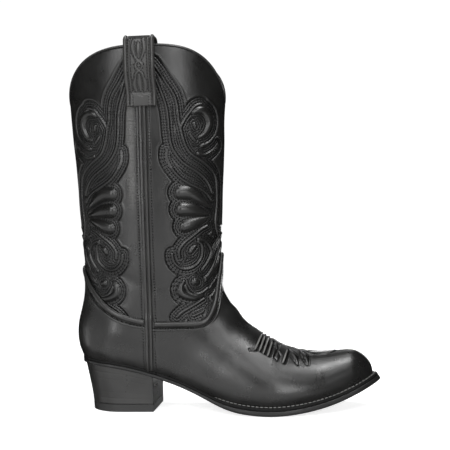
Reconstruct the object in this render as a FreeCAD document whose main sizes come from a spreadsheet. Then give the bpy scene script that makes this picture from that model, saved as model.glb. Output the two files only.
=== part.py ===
"""Western riding boot, right foot, in millimetres: toe along +X, medial side along +Y, +Z up.

The origin is on the floor, below the middle of the boot. The upper is one master surface, a leg tube that
bends at the throat into a foot. Every leather, lining and stiffener is a layer of that surface between two
offsets. The bottom pieces follow one curved feather line, and the heel tapers from its seat to its top lift.
"""
import FreeCAD, Part

import bisect
import math
import os

from FreeCAD import Vector

DIMENSIONS = [
    ("ankle_height", 160.0, "leg loops are level down to here, and fan out to the toe below it"),
    ("dip_height", 291.0, "top line at the front and back"),
    ("side_rise", 49.5, "how much higher the top line is at the side seams"),
    ("seam_x", -68.6, "side seam"),
    ("toe_tip_x", 136.6, "front end of the feather line"),
    ("heel_back_x", -138.0, "back end of the feather line"),
    ("toe_round", 24.0, "length of the toe's rounded end in side view"),
    ("toe_width_round", 20.0, "length of the toe's rounded end in plan"),
    ("swell", 3.0, "how far the upper bulges past the feather line"),
    ("swell_height", 14.0, "height of the widest place above the feather line"),
    ("leather", 1.5, "outer leather"),
    ("lining_leather", 1.0, "lining leather"),
    ("padding_foam", 1.25, "foam behind the stitched scrolls"),
    ("layer_gap", 0.06, "glue line between two layers"),
    ("panel_underlap", 9.0, "shaft panel below the edge of the vamp"),
    ("upper_seat", 0.9, "upper edge above the feather line"),
    ("binding_radius", 2.3, "rolled binding on the top line"),
    ("piping_width", 8.0, "side seam piping"),
    ("piping_depth", 1.6, "side seam piping above the shaft"),
    ("rim_width", 4.5, "padded rim of the vamp and counter"),
    ("rim_depth", 1.2, "padded rim above the vamp"),
    ("insole_depth", 3.0, "leather insole board"),
    ("sock_depth", 1.25, "sock liner"),
    ("welt_depth", 3.2, "welt in the forepart"),
    ("outsole_depth", 4.6, "leather outsole in the forepart"),
    ("waist_welt_depth", 2.9, "welt at the waist, and heel rand"),
    ("waist_outsole_depth", 2.9, "leather outsole at the waist and heel"),
    ("rib_width", 1.6, "gemming rib"),
    ("shank_width", 13.0, "steel shank"),
    ("shank_depth", 1.4, "steel shank"),
    ("shank_front_x", -2.0, "front end of the shank"),
    ("shank_back_x", -104.0, "back end of the shank"),
    ("breast_x", -67.2, "front face of the heel"),
    ("lift_depth", 7.0, "rubber top lift"),
    ("lift_back_x", -130.6, "back of the top lift"),
    ("lift_half_width", 26.6, "half the width of the top lift"),
    ("nail_radius", 1.0, "heel nails"),
    ("nail_length", 27.0, "heel nails"),
    ("nail_head_radius", 2.2, "heel nails"),
    ("nail_head_depth", 1.0, "heel nails"),
    ("lift_nail_length", 14.0, "nails that hold the top lift"),
    ("screw_radius", 2.0, "heel screw"),
    ("screw_length", 34.0, "heel screw"),
    ("screw_head_radius", 4.0, "heel screw"),
    ("screw_head_depth", 1.4, "heel screw"),
    ("peg_radius", 1.0, "wooden pegs of the waist"),
    ("strap_width", 28.5, "pull strap"),
    ("strap_depth", 2.3, "pull strap"),
    ("strap_foot_z", 284.5, "lower end of the pull strap outside"),
    ("strap_lining_foot_z", 292.0, "lower end of the pull strap inside"),
    ("strap_sewn_z", 296.0, "the strap lies on the shaft up to here"),
    ("strap_top_z", 347.8, "top of the pull strap's loop"),
    ("strap_bow", 7.0, "finger gap between the strap and the shaft"),
    ("strap_inner_bow", 3.0, "gap between the strap and the lining"),
    ("strap_bend", 3.2, "inside radius of the loop's two bends"),
    ("stitch_radius", 0.45, "welt stitches"),
    ("stitch_length", 2.6, "welt stitches"),
    ("stitch_pitch", 3.9, "welt stitches"),
    ("cord_radius", 0.7, "raised cords across the vamp"),
]


def make_sheet(doc):
    """The driving dimensions, one named cell each."""
    sheet = doc.addObject("Spreadsheet::Sheet", "Dimensions")
    for row, (alias, value, meaning) in enumerate(DIMENSIONS, start=1):
        sheet.set(f"A{row}", meaning)
        sheet.set(f"B{row}", str(value))
        sheet.setAlias(f"B{row}", alias)
    doc.recompute()
    return sheet


doc = FreeCAD.newDocument("western_boot")
sheet = make_sheet(doc)
size = {alias: float(sheet.get(alias)) for alias, _, _ in DIMENSIONS}
parts = []

# ---------------------------------------------------------------- curves


def smooth_curve(points):
    """The natural cubic spline through (x, y) points, as a function that runs straight on past its ends."""
    xs = [p[0] for p in points]
    ys = [p[1] for p in points]
    n = len(xs)
    gaps = [xs[i + 1] - xs[i] for i in range(n - 1)]
    bend = [0.0] * n
    upper = [0.0] * n
    right = [0.0] * n
    for i in range(1, n - 1):
        slope = (ys[i + 1] - ys[i]) / gaps[i] - (ys[i] - ys[i - 1]) / gaps[i - 1]
        pivot = 2.0 * (gaps[i - 1] + gaps[i]) - gaps[i - 1] * upper[i - 1]
        upper[i] = gaps[i] / pivot
        right[i] = (6.0 * slope - gaps[i - 1] * right[i - 1]) / pivot
    for i in range(n - 2, 0, -1):
        bend[i] = right[i] - upper[i] * bend[i + 1]

    def value(x):
        if x <= xs[0]:
            start = (ys[1] - ys[0]) / gaps[0] - gaps[0] * bend[1] / 6.0
            return ys[0] + (x - xs[0]) * start
        if x >= xs[-1]:
            end = (ys[-1] - ys[-2]) / gaps[-1] + gaps[-1] * bend[-2] / 6.0
            return ys[-1] + (x - xs[-1]) * end
        i = max(k for k in range(n - 1) if xs[k] <= x)
        a, b = x - xs[i], xs[i + 1] - x
        straight = (ys[i] * b + ys[i + 1] * a) / gaps[i]
        curved = a * b * (bend[i] * (b + gaps[i]) + bend[i + 1] * (a + gaps[i])) / (6.0 * gaps[i])
        return straight - curved

    return value


def dome(s, power=2.0):
    """Quarter of a rounded end: 0 at s 0, and 1 from s 1 on."""
    s = min(max(s, 0.0), 1.0)
    return (1.0 - (1.0 - s) ** power) ** (1.0 / power)


def ease(s):
    s = min(max(s, 0.0), 1.0)
    return s * s * (3.0 - 2.0 * s)


def mix(a, b, share):
    return a + (b - a) * share


# ---------------------------------------------------------------- master surface

BEND_X, BEND_Z = 45.0, 140.0  # the line in front of the throat that the sections fan round
BEND_SCALE = 60.0
THROAT_TURN = BEND_SCALE * math.pi / 2.0

feather_z = smooth_curve([
    (-143, 51.5), (-106, 48), (-74, 41), (-56, 35.4), (-33, 26.4), (-5, 14.5), (8, 11.2), (25, 8.9),
    (43, 8.0), (56, 8.4), (71, 9.9), (99, 15.6), (123, 24.6), (137, 31.2),
])
back_x = smooth_curve([
    (44, -136.5), (51, -138.0), (60, -141.2), (68, -142.6), (76, -142.9), (86, -141.7), (97, -138.9),
    (109, -136.5), (123, -135.9), (144, -137.4), (180, -140.2), (223, -142.7), (262, -146.1), (291, -148.0),
    (304, -149.0), (345, -149.2),
])
FRONT_LEG = [
    (4.2, 345), (3.9, 300), (2.5, 282), (1.8, 254), (0.0, 219), (-1.3, 192), (-2.2, 169), (-3.0, 153),
]
FRONT_THROAT = [
    (-4.4, 138), (-4.0, 123), (-3.0, 111.3), (1.9, 102.4), (10.6, 91.3), (16.4, 83.6), (25.5, 75.4),
    (36.8, 67.6), (50.3, 60.0),
]
FRONT_TOE = [(71.2, 52.4), (84, 50.9), (98, 51.4), (114, 53.0), (125, 53.4), (137, 53.0)]
HALF_WIDTHS = {
    "lateral": smooth_curve([
        (-138, 29), (-110, 30), (-80, 29.5), (-55, 28.5), (-32, 29), (-5, 34), (20, 39.5), (38, 41.5),
        (55, 40.5), (75, 35.5), (95, 28), (112, 21), (125, 16), (137, 12.5),
    ]),
    "medial": smooth_curve([
        (-138, 29), (-110, 29.5), (-80, 27.5), (-55, 24.5), (-32, 23), (-5, 27.5), (20, 35.5), (38, 40),
        (52, 41), (70, 38.5), (95, 31), (112, 24.5), (125, 19.5), (137, 15),
    ]),
}
leg_half_width = smooth_curve([
    (40, 32), (95, 33.5), (120, 35), (160, 38), (220, 41.5), (290, 44), (345, 45.5),
])
back_round = smooth_curve([(44, 33), (60, 36), (90, 50), (125, 66), (180, 71), (345, 75)])
front_round = smooth_curve([
    (-205, 76), (-80, 72), (-20, 69), (20, 66), (60, 56), (THROAT_TURN, 46.5), (THROAT_TURN + 30, 38),
])


def bent(x, z):
    """Station along the front of the boot, and distance from the bend line in front of the throat."""
    if z >= BEND_Z:
        return BEND_Z - z, BEND_X - x
    if x >= BEND_X:
        return THROAT_TURN + x - BEND_X, BEND_Z - z
    return BEND_SCALE * math.atan2(BEND_Z - z, BEND_X - x), math.hypot(BEND_Z - z, BEND_X - x)


front_radius = smooth_curve([bent(x, z) for x, z in FRONT_LEG + FRONT_THROAT + FRONT_TOE])


def ridge_z(x):
    """Top of the forefoot in side view, with the toe's rounded end."""
    ridge = BEND_Z - front_radius(THROAT_TURN + x - BEND_X)
    low = feather_z(x)
    return low + (ridge - low) * dome((size["toe_tip_x"] - x) / size["toe_round"], 2.35)


def below_front(x, z):
    """How deep a side-view point lies below the front line, and the depth over which the side rounds off."""
    station, radius = bent(x, z)
    if x >= BEND_X and z < BEND_Z:
        return ridge_z(x) - z, 0.84 * (ridge_z(x) - feather_z(x))
    return radius - front_radius(station), front_round(station)


def half_width(x, z, side):
    """Half the thickness of the boot at a side-view point."""
    depth, rounding = below_front(x, z)
    above = max(z - feather_z(x), 0.0)
    swelling = size["swell"] * (1.0 - max(1.0 - above / size["swell_height"], 0.0) ** 2)
    toe = dome((size["toe_tip_x"] - x) / size["toe_width_round"])
    foot = (HALF_WIDTHS[side](x) + swelling) * toe
    width = mix(foot, leg_half_width(z), ease((z - 55.0) / 60.0))
    front = dome(depth / rounding) if rounding > 1e-6 else 0.0
    return width * front * dome((x - back_x(z)) / back_round(z))


TOE_START = THROAT_TURN + size["toe_tip_x"] - size["toe_round"] - BEND_X
ANKLE_STATION = BEND_Z - size["ankle_height"]


def front_point(q):
    """Point of the front line at station q. Past TOE_START, q counts degrees round the toe."""
    if q > TOE_START:
        turn = math.radians(min(q - TOE_START, 90.0))
        x = size["toe_tip_x"] - size["toe_round"] * (1.0 - math.sin(turn))
        return x, ridge_z(x)
    if q > THROAT_TURN:
        x = BEND_X + q - THROAT_TURN
        return x, ridge_z(x)
    radius = front_radius(q)
    if q <= 0.0:
        return BEND_X - radius, BEND_Z - q
    return BEND_X - radius * math.cos(q / BEND_SCALE), BEND_Z - radius * math.sin(q / BEND_SCALE)


def front_lengths():
    """Length of the front line from the ankle to each of its stations, as (length, q)."""
    count = 300
    found = [(0.0, ANKLE_STATION)]
    x0, z0 = front_point(ANKLE_STATION)
    for k in range(1, count + 1):
        q = mix(ANKLE_STATION, TOE_START + 90.0, k / count)
        x1, z1 = front_point(q)
        found.append((found[-1][0] + math.hypot(x1 - x0, z1 - z0), q))
        x0, z0 = x1, z1
    return found


FRONT = front_lengths()


def front_at(share):
    """Point of the front line at a share of its length below the ankle."""
    target = min(share, 1.0) * FRONT[-1][0]
    k = bisect.bisect_left(FRONT, (target, -1e9), 1, len(FRONT) - 1)
    (s0, q0), (s1, q1) = FRONT[k - 1], FRONT[k]
    return front_point(mix(q0, q1, (target - s0) / (s1 - s0)))


def front_x(z):
    return BEND_X - front_radius(BEND_Z - z)


SEAM_SHARE = 0.5237  # the side seam's share of the way from back to front, at the top
NOTCH = 0.006  # softens the point of the notch at the front and back of the top line


def top_z(t):
    """Height of the scalloped top line at share t from back to front."""
    reach = SEAM_SHARE if t < SEAM_SHARE else 1.0 - SEAM_SHARE
    q = min(abs(t - SEAM_SHARE) / reach, 1.0)
    fullness = 3.0 if t < SEAM_SHARE else 3.7
    low, high = math.sqrt(NOTCH), math.sqrt(1.0 + NOTCH)
    rise = (math.sqrt(1.0 - q ** fullness + NOTCH) - low) / (high - low)
    return size["dip_height"] + size["side_rise"] * rise


def side_point(v, t):
    """Side view of the surface: v is 0 at the top line, 1 at the ankle and 2 at the feather line."""
    ankle = size["ankle_height"]
    if v <= 1.0:
        z = mix(top_z(t), ankle, v)
        return mix(back_x(z), front_x(z), t), z
    g = v - 1.0
    heel_x, toe_x = size["heel_back_x"], size["toe_tip_x"]
    heel_z, toe_z = feather_z(heel_x), feather_z(toe_x)
    z_back = mix(ankle, heel_z, g)
    x_front, z_front = front_at(g)
    sag = feather_z(mix(heel_x, toe_x, t)) - mix(heel_z, toe_z, t)
    return mix(back_x(z_back), x_front, t), mix(z_back, z_front, t) + g * g * sag


def seam_angle(v):
    """Turn from the back line to the side seam, in degrees, on the loop at v."""
    low, high = 20.0, 120.0
    for _ in range(26):
        middle = (low + high) / 2.0
        x, _ = side_point(v, (1.0 - math.cos(math.radians(middle))) / 2.0)
        low, high = (middle, high) if x < size["seam_x"] else (low, middle)
    return (low + high) / 2.0


SEAM_TURNS = smooth_curve([(k / 20.0, seam_angle(k / 20.0)) for k in range(41)])


def surface(w, v):
    """Point of the master surface. w is 0 at the back, 1 and 3 at the seams, and 2 in front."""
    w = w % 4.0
    side, near = ("lateral", w) if w <= 2.0 else ("medial", 4.0 - w)
    seam = SEAM_TURNS(v)
    turn = seam * near if near <= 1.0 else mix(seam, 180.0, near - 1.0)
    x, z = side_point(v, (1.0 - math.cos(math.radians(turn))) / 2.0)
    y = half_width(x, z, side)
    return Vector(x, -y if side == "lateral" else y, z)


def outward(w, v):
    step = 2e-3
    low, high = max(v - step, 0.0), min(v + step, 2.0)
    along = surface(w + step, v) - surface(w - step, v)
    down = surface(w, high) - surface(w, low)
    normal = down.cross(along)
    normal.normalize()
    return normal


# ---------------------------------------------------------------- edges of the leather pieces


def share_turn(x):
    """Turn round the ankle, from 0 at the back to 180 degrees in front, of a place at x."""
    t = min(max((x + 138.2) / 135.6, 0.0), 1.0)
    return math.degrees(math.acos(1.0 - 2.0 * t))


SEAM_EDGE_Z = 85.3


def vamp_edge(x):
    """Top of the vamp: level at the side, rising to a tongue in front."""
    return SEAM_EDGE_Z + 67.7 * math.exp(-(((180.0 - share_turn(x)) / 24.3) ** 2.6))


def counter_edge(x):
    """Top of the counter: rising to a point at the back."""
    return SEAM_EDGE_Z + 54.5 * math.exp(-((share_turn(x) / 50.8) ** 2.14))


def below(edge, drop=0.0):
    """A limit that is passed where the surface goes below an edge."""
    return lambda x, z: z - edge(x) + drop


def seat(x, z):
    return z - feather_z(x) - size["upper_seat"]


def under_binding(w):
    """v just under the binding that is rolled round the top line."""
    before, here, after = surface(w - 0.01, 0.0), surface(w, 0.0), surface(w + 0.01, 0.0)
    flat = math.hypot(after.x - before.x, after.y - before.y)
    steep = (after - before).Length / flat
    drop = (size["binding_radius"] + 0.1) * min(steep, 2.2)
    return drop / (here.z - size["ankle_height"])


def find_v(w, limit):
    """v where the line at w passes a limit, which falls from positive to negative on the way down."""
    if limit is None:
        return under_binding(w)
    low, high = 0.0, 2.0
    for _ in range(30):
        middle = (low + high) / 2.0
        point = surface(w, middle)
        low, high = (middle, high) if limit(point.x, point.z) > 0 else (low, middle)
    return (low + high) / 2.0


def grid(w0, w1, top, bottom, offset, across, down):
    """Points of one skin of a layer, in rows from its first side to its second."""
    rows = []
    for i in range(across):
        w = mix(w0, w1, i / (across - 1.0))
        v0, v1 = find_v(w, top), find_v(w, bottom)
        row = []
        for j in range(down):
            v = mix(v0, v1, j / (down - 1.0))
            row.append(surface(w, v) + outward(w, v) * offset)
        rows.append(row)
    return rows


def skin(points):
    sheet_surface = Part.BSplineSurface()
    sheet_surface.interpolate(points)
    return sheet_surface


def close_layer(inner, outer):
    """The closed solid between two skins that share their rows and columns."""
    faces = [inner.toShape(), outer.toShape()]
    u0, u1, v0, v1 = inner.bounds()
    s0, s1, t0, t1 = outer.bounds()
    for a, b in (
        (inner.uIso(u0), outer.uIso(s0)),
        (inner.uIso(u1), outer.uIso(s1)),
        (inner.vIso(v0), outer.vIso(t0)),
        (inner.vIso(v1), outer.vIso(t1)),
    ):
        faces.append(Part.makeRuledSurface(a.toShape(), b.toShape()))
    shell = Part.makeShell(faces)
    shell.sewShape()
    solid = Part.makeSolid(shell if shell.ShapeType == "Shell" else shell.Shells[0])
    if solid.Volume < 0:
        solid.reverse()
    return solid


def add_shape(label, shape):
    """A sub-part whose shape no standard feature fits."""
    feature = doc.addObject("Part::Feature", label)
    feature.Label = label
    feature.Shape = shape
    feature.Placement = FreeCAD.Placement()
    parts.append(feature)
    return feature


def layer(label, w0, w1, top, bottom, inner, outer, across=31, down=25):
    skins = [skin(grid(w0, w1, top, bottom, offset, across, down)) for offset in (inner, outer)]
    return add_shape(label, close_layer(*skins))


def build_upper():
    """Outer leathers, padding, linings and stiffeners, from the outside in."""
    gap, leather, lining = size["layer_gap"], size["leather"], size["lining_leather"]
    underlap = size["panel_underlap"]
    foam_out = -leather - gap
    foam_in = foam_out - size["padding_foam"]
    leg_lining_out = foam_in - gap
    foot_lining_out = -leather - gap
    stiff_in, stiff_out = -leather, -gap / 2.0
    below_panel = underlap + 2.0

    def between(w0, edge, words):
        """The six layers of one half: the front half starts at seam 1, the back half at seam 3."""
        w1 = w0 + 2.0
        layer(words["panel"], w0, w1, None, below(edge, underlap), -leather, 0.0, 41, 31)
        layer(words["padding"], w0 + 0.1, w1 - 0.1, lambda x, z: z - 278.0, below(edge, -4.0), foam_in,
              foam_out)
        layer(words["leg_lining"], w0, w1, None, below(edge, underlap + 7.0), leg_lining_out - lining,
              leg_lining_out)
        layer(words["cover"], w0, w1, below(edge), seat, gap, leather, 41, 25)
        layer(words["rim"], w0, w1, below(edge), below(edge, size["rim_width"]), leather + gap,
              leather + size["rim_depth"], 41, 4)
        layer(words["foot_lining"], w0, w1, below(edge, 3.0), seat, foot_lining_out - lining,
              foot_lining_out)

    between(1.0, vamp_edge, {
        "panel": "shaft_front", "padding": "shaft_padding_front", "leg_lining": "shaft_lining_front",
        "cover": "vamp", "rim": "vamp_rim", "foot_lining": "vamp_lining",
    })
    between(3.0, counter_edge, {
        "panel": "shaft_back", "padding": "shaft_padding_back", "leg_lining": "shaft_lining_back",
        "cover": "counter", "rim": "counter_rim", "foot_lining": "heel_lining",
    })
    puff_x = 84.0
    layer("heel_stiffener", 3.2, 4.8, below(counter_edge, below_panel), seat, stiff_in, stiff_out)
    layer("toe_puff", 1.62, 2.38, lambda x, z: puff_x - x, seat, stiff_in, stiff_out)
    layer("vamp_interlining", 1.04, 2.96, below(vamp_edge, below_panel),
          lambda x, z: min(puff_x - 2.0 - x, seat(x, z)), stiff_in + 0.6, stiff_out)


# ---------------------------------------------------------------- trims of the upper


def side_place(x, z, side, offset):
    """Point at an offset from one side of the master surface, found from its side view."""
    step = 0.05

    def at(px, pz):
        y = half_width(px, pz, side)
        return Vector(px, -y if side == "lateral" else y, pz)

    along = at(x + step, z) - at(x - step, z)
    up = at(x, z + step) - at(x, z - step)
    normal = along.cross(up) if side == "lateral" else up.cross(along)
    normal.normalize()
    return at(x, z) + normal * offset


def piping_base(z):
    """The piping steps out where it runs on from the shaft over the vamp and counter."""
    return size["layer_gap"] + size["leather"] * (1.0 + 0.04) * ease((SEAM_EDGE_Z + 8.0 - z) / 6.0)


def build_piping(side):
    top = size["dip_height"] + size["side_rise"] - 3.6
    foot = feather_z(size["seam_x"]) + size["upper_seat"]
    half = size["piping_width"] / 2.0
    skins = []
    for raised in (0.0, size["piping_depth"]):
        rows = []
        for x in (-half, -half / 2.0, 0.0, half / 2.0, half):
            heights = [mix(foot, top, k / 60.0) for k in range(61)]
            rows.append([side_place(size["seam_x"] + x, z, side, piping_base(z) + raised) for z in heights])
        skins.append(skin(rows))
    add_shape(f"side_piping_{side}", close_layer(*skins))


def tube(path, radius):
    """A round cord along a list of points."""
    spline = Part.BSplineCurve()
    spline.interpolate(path)
    start = spline.value(spline.FirstParameter)
    ring = Part.Wire(Part.makeCircle(radius, start, spline.tangent(spline.FirstParameter)[0]))
    return Part.Wire(spline.toShape()).makePipeShell([ring], True, True)


def build_binding(label, w0):
    middle = -(size["leather"] * 2.0 + size["padding_foam"]) / 2.0
    path = []
    for k in range(61):
        w = w0 + 2.0 * (0.0005 + 0.999 * k / 60.0)
        path.append(surface(w, 0.0) + outward(w, 0.0) * middle)
    add_shape(label, tube(path, size["binding_radius"]))


def strap_wall(side, z):
    """Distance of the shaft's outer face from the middle of the boot, under the pull strap."""
    return half_width(size["seam_x"], min(z, size["dip_height"] + size["side_rise"]), side)


def build_pull_strap(side):
    """A band sewn to the shaft outside and to the lining inside, that loops over the top line."""
    half = size["strap_depth"] / 2.0
    flat = size["piping_depth"] + 3.0 * size["layer_gap"] + half
    wall = 2.0 * size["leather"] + size["padding_foam"]
    top = size["strap_top_z"] - half
    bend = size["strap_bend"] + half

    def outer_offset(z):
        return flat + size["strap_bow"] * math.sin(math.pi * ease((z - size["strap_sewn_z"]) / 30.0) / 2.0)

    def inner_offset(z):
        return -wall - half - 0.3 - size["strap_inner_bow"] * ease((z - size["strap_sewn_z"] - 4.0) / 14.0)

    path = []
    for k in range(25):
        z = mix(size["strap_foot_z"], top - bend, k / 24.0)
        path.append((strap_wall(side, z) + outer_offset(z), z))
    outer_y, inner_y = path[-1][0], strap_wall(side, top) + inner_offset(top)
    for k in range(1, 10):
        turn = math.radians(10.0 * k)
        path.append((outer_y - bend * (1.0 - math.cos(turn)), top - bend + bend * math.sin(turn)))
    for k in range(0, 9):
        turn = math.radians(90.0 - 10.0 * k)
        path.append((inner_y + bend * (1.0 - math.cos(turn)), top - bend + bend * math.sin(turn)))
    for k in range(25):
        z = mix(top - bend, size["strap_lining_foot_z"], k / 24.0)
        path.append((strap_wall(side, z) + inner_offset(z), z))

    edges = [[], []]
    for k, (y, z) in enumerate(path):
        y0, z0 = path[max(k - 1, 0)]
        y1, z1 = path[min(k + 1, len(path) - 1)]
        length = math.hypot(y1 - y0, z1 - z0)
        across_y, across_z = (z1 - z0) / length * half, -(y1 - y0) / length * half
        edges[0].append((y + across_y, z + across_z))
        edges[1].append((y - across_y, z - across_z))
    sign = -1.0 if side == "lateral" else 1.0
    outline = [Vector(sign * y, z, 0.0) for y, z in edges[0] + edges[1][::-1]]

    body = doc.addObject("PartDesign::Body", f"pull_strap_{side}")
    body.Label = f"pull_strap_{side}"
    plane = next(item for item in body.Origin.OriginFeatures if item.Role == "YZ_Plane")
    sketch = body.newObject("Sketcher::SketchObject", f"strap_section_{side}")
    sketch.AttachmentSupport = [(plane, "")]
    sketch.MapMode = "FlatFace"
    sketch.AttachmentOffset = FreeCAD.Placement(Vector(0.0, 0.0, size["seam_x"]), FreeCAD.Rotation())
    for a, b in zip(outline, outline[1:] + outline[:1]):
        sketch.addGeometry(Part.LineSegment(a, b), False)
    pad = body.newObject("PartDesign::Pad", f"strap_width_{side}")
    pad.Profile = sketch
    pad.Midplane = True
    pad.setExpression("Length", "Dimensions.strap_width")
    body.Tip = pad
    body.Placement = FreeCAD.Placement()
    parts.append(body)


def build_vamp_cords():
    """Short raised cords that cross the front of the vamp from its ridge, in mirrored pairs."""
    cords = [
        ((36, 67.5), (30, 54)), ((39.5, 64.5), (34, 51)),
        ((43, 61.5), (37.5, 49.5)), ((46.3, 59), (41.3, 48)),
    ]
    lift = size["leather"] + size["layer_gap"] * 2.0 + size["cord_radius"]
    shapes = []
    for side in ("lateral", "medial"):
        for (x0, z0), (x1, z1) in cords:
            path = [
                side_place(mix(x0, x1, k / 8.0), mix(z0, z1, k / 8.0), side, lift) for k in range(9)
            ]
            shapes.append(tube(path, size["cord_radius"]))
    add_shape("vamp_cords", Part.makeCompound(shapes))


# ---------------------------------------------------------------- bottom and heel


def outline_at(w, outset, deep=0.0):
    """Point of the feather line at turn w, moved outward in plan, and forward for a deeper layer."""
    step = 0.01
    here, before, after = surface(w, 2.0), surface(w - step, 2.0), surface(w + step, 2.0)
    along = Vector(after.x - before.x, after.y - before.y, 0.0)
    along.normalize()
    slope = (feather_z(here.x + 0.5) - feather_z(here.x - 0.5)) * ease((here.x - 40.0) / 60.0)
    return Vector(here.x + outset * along.y + deep * slope, here.y - outset * along.x, 0.0)


def plan_wire(outset, deep=0.0):
    """Closed outline in plan. The outset is a number, or a function of x."""
    points = []
    for k in range(96):
        w = k / 24.0
        x = surface(w, 2.0).x
        away = outset(x) if callable(outset) else outset
        points.append(outline_at(w, away, deep))
    curve = Part.BSplineCurve()
    curve.interpolate(points, PeriodicFlag=True)
    return Part.Wire(curve.toShape())


def prism(wire):
    return Part.Face(wire).extrude(Vector(0.0, 0.0, 200.0)).translated(Vector(0.0, 0.0, -40.0))


def forepart_share(x):
    """0 at the waist and heel, 1 in the forepart."""
    return ease((x + 26.0) / 44.0)


def welt_low(x):
    return -mix(size["waist_welt_depth"], size["welt_depth"], forepart_share(x))


def sole_high(x):
    return welt_low(x) - size["layer_gap"]


def sole_low(x):
    return sole_high(x) - mix(size["waist_outsole_depth"], size["outsole_depth"], forepart_share(x))


def slab(low, high, x0=-170.0, x1=170.0):
    """The band between two heights over the curved feather line, from x0 to x1. A height may depend on x."""
    count = 61
    xs = [mix(x0, x1, k / (count - 1.0)) for k in range(count)]
    curves = []
    for rise in (low, high):
        heights = [feather_z(x) + (rise(x) if callable(rise) else rise) for x in xs]
        curve = Part.BSplineCurve()
        curve.interpolate([Vector(x, -80.0, z) for x, z in zip(xs, heights)])
        curves.append(curve)
    ends = [
        Part.makeLine(curves[0].value(curves[0].FirstParameter), curves[1].value(curves[1].FirstParameter)),
        Part.makeLine(curves[0].value(curves[0].LastParameter), curves[1].value(curves[1].LastParameter)),
    ]
    wire = Part.Wire(Part.__sortEdges__([curves[0].toShape(), ends[1], curves[1].toShape(), ends[0]]))
    return Part.Face(wire).extrude(Vector(0.0, 160.0, 0.0))


def forepart_outset(x):
    """How far the welt and outsole stand out past the upper: wide in front, close at the waist and heel."""
    return mix(1.6, mix(2.6, 5.0, ease((x + 20.0) / 40.0)), ease((x + 78.0) / 20.0))


def along_feather(x, y, rise):
    return Vector(x, y, feather_z(x) + rise)


def drilled(shape, holes):
    for hole in holes:
        shape = shape.cut(hole)
    return shape


def heel_wire(z, share):
    """D-shaped outline of the heel at height z: share 1 is the seat's outline, 0 the top lift's."""
    breast = size["breast_x"]
    seat_back = size["heel_back_x"] - 1.4
    across = mix(size["lift_half_width"] / 30.4, 1.0, share)
    along = mix((breast - size["lift_back_x"]) / (breast - seat_back), 1.0, share)
    points = []
    for k in range(41):
        w = mix(-SEAT_SPAN, SEAT_SPAN, k / 40.0)
        p = outline_at(w, 1.2)
        points.append(Vector(breast + (p.x - breast) * along, p.y * across, z))
    points[0].x = points[-1].x = breast
    curve = Part.BSplineCurve()
    curve.interpolate(points)
    return Part.Wire([curve.toShape(), Part.makeLine(points[-1], points[0])])


def seat_span():
    """Turn from the back of the heel to its breast on the feather line."""
    low, high = 0.2, 1.6
    for _ in range(30):
        middle = (low + high) / 2.0
        low, high = (middle, high) if outline_at(middle, 1.2).x < size["breast_x"] else (low, middle)
    return low


SEAT_SPAN = seat_span()
NAIL_PLACES = [(-122.0, 0.0), (-115.0, -14.5), (-115.0, 14.5), (-94.0, -18.0), (-94.0, 18.0)]
LIFT_NAIL_PLACES = [(-116.0, 0.0), (-108.0, -15.0), (-108.0, 15.0), (-82.0, -17.5), (-82.0, 17.5)]
SCREW_PLACE = (-98.0, 0.0)
PEG_ROW = [(-58.0, 15.0), (-49.0, 15.0), (-40.0, 15.5), (-31.0, 16.5), (-22.0, 18.0)]
PEG_PLACES = [(x, sign * y) for x, y in PEG_ROW for sign in (-1, 1)]


def pin(radius, length, head_radius, head_depth, place):
    """A round shank that hangs below its head. The place is the middle of the head's top."""
    head = Part.makeCylinder(head_radius, head_depth, place - Vector(0.0, 0.0, head_depth))
    shank = Part.makeCylinder(radius, length, place - Vector(0.0, 0.0, length))
    return head.fuse(shank).removeSplitter()


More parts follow.
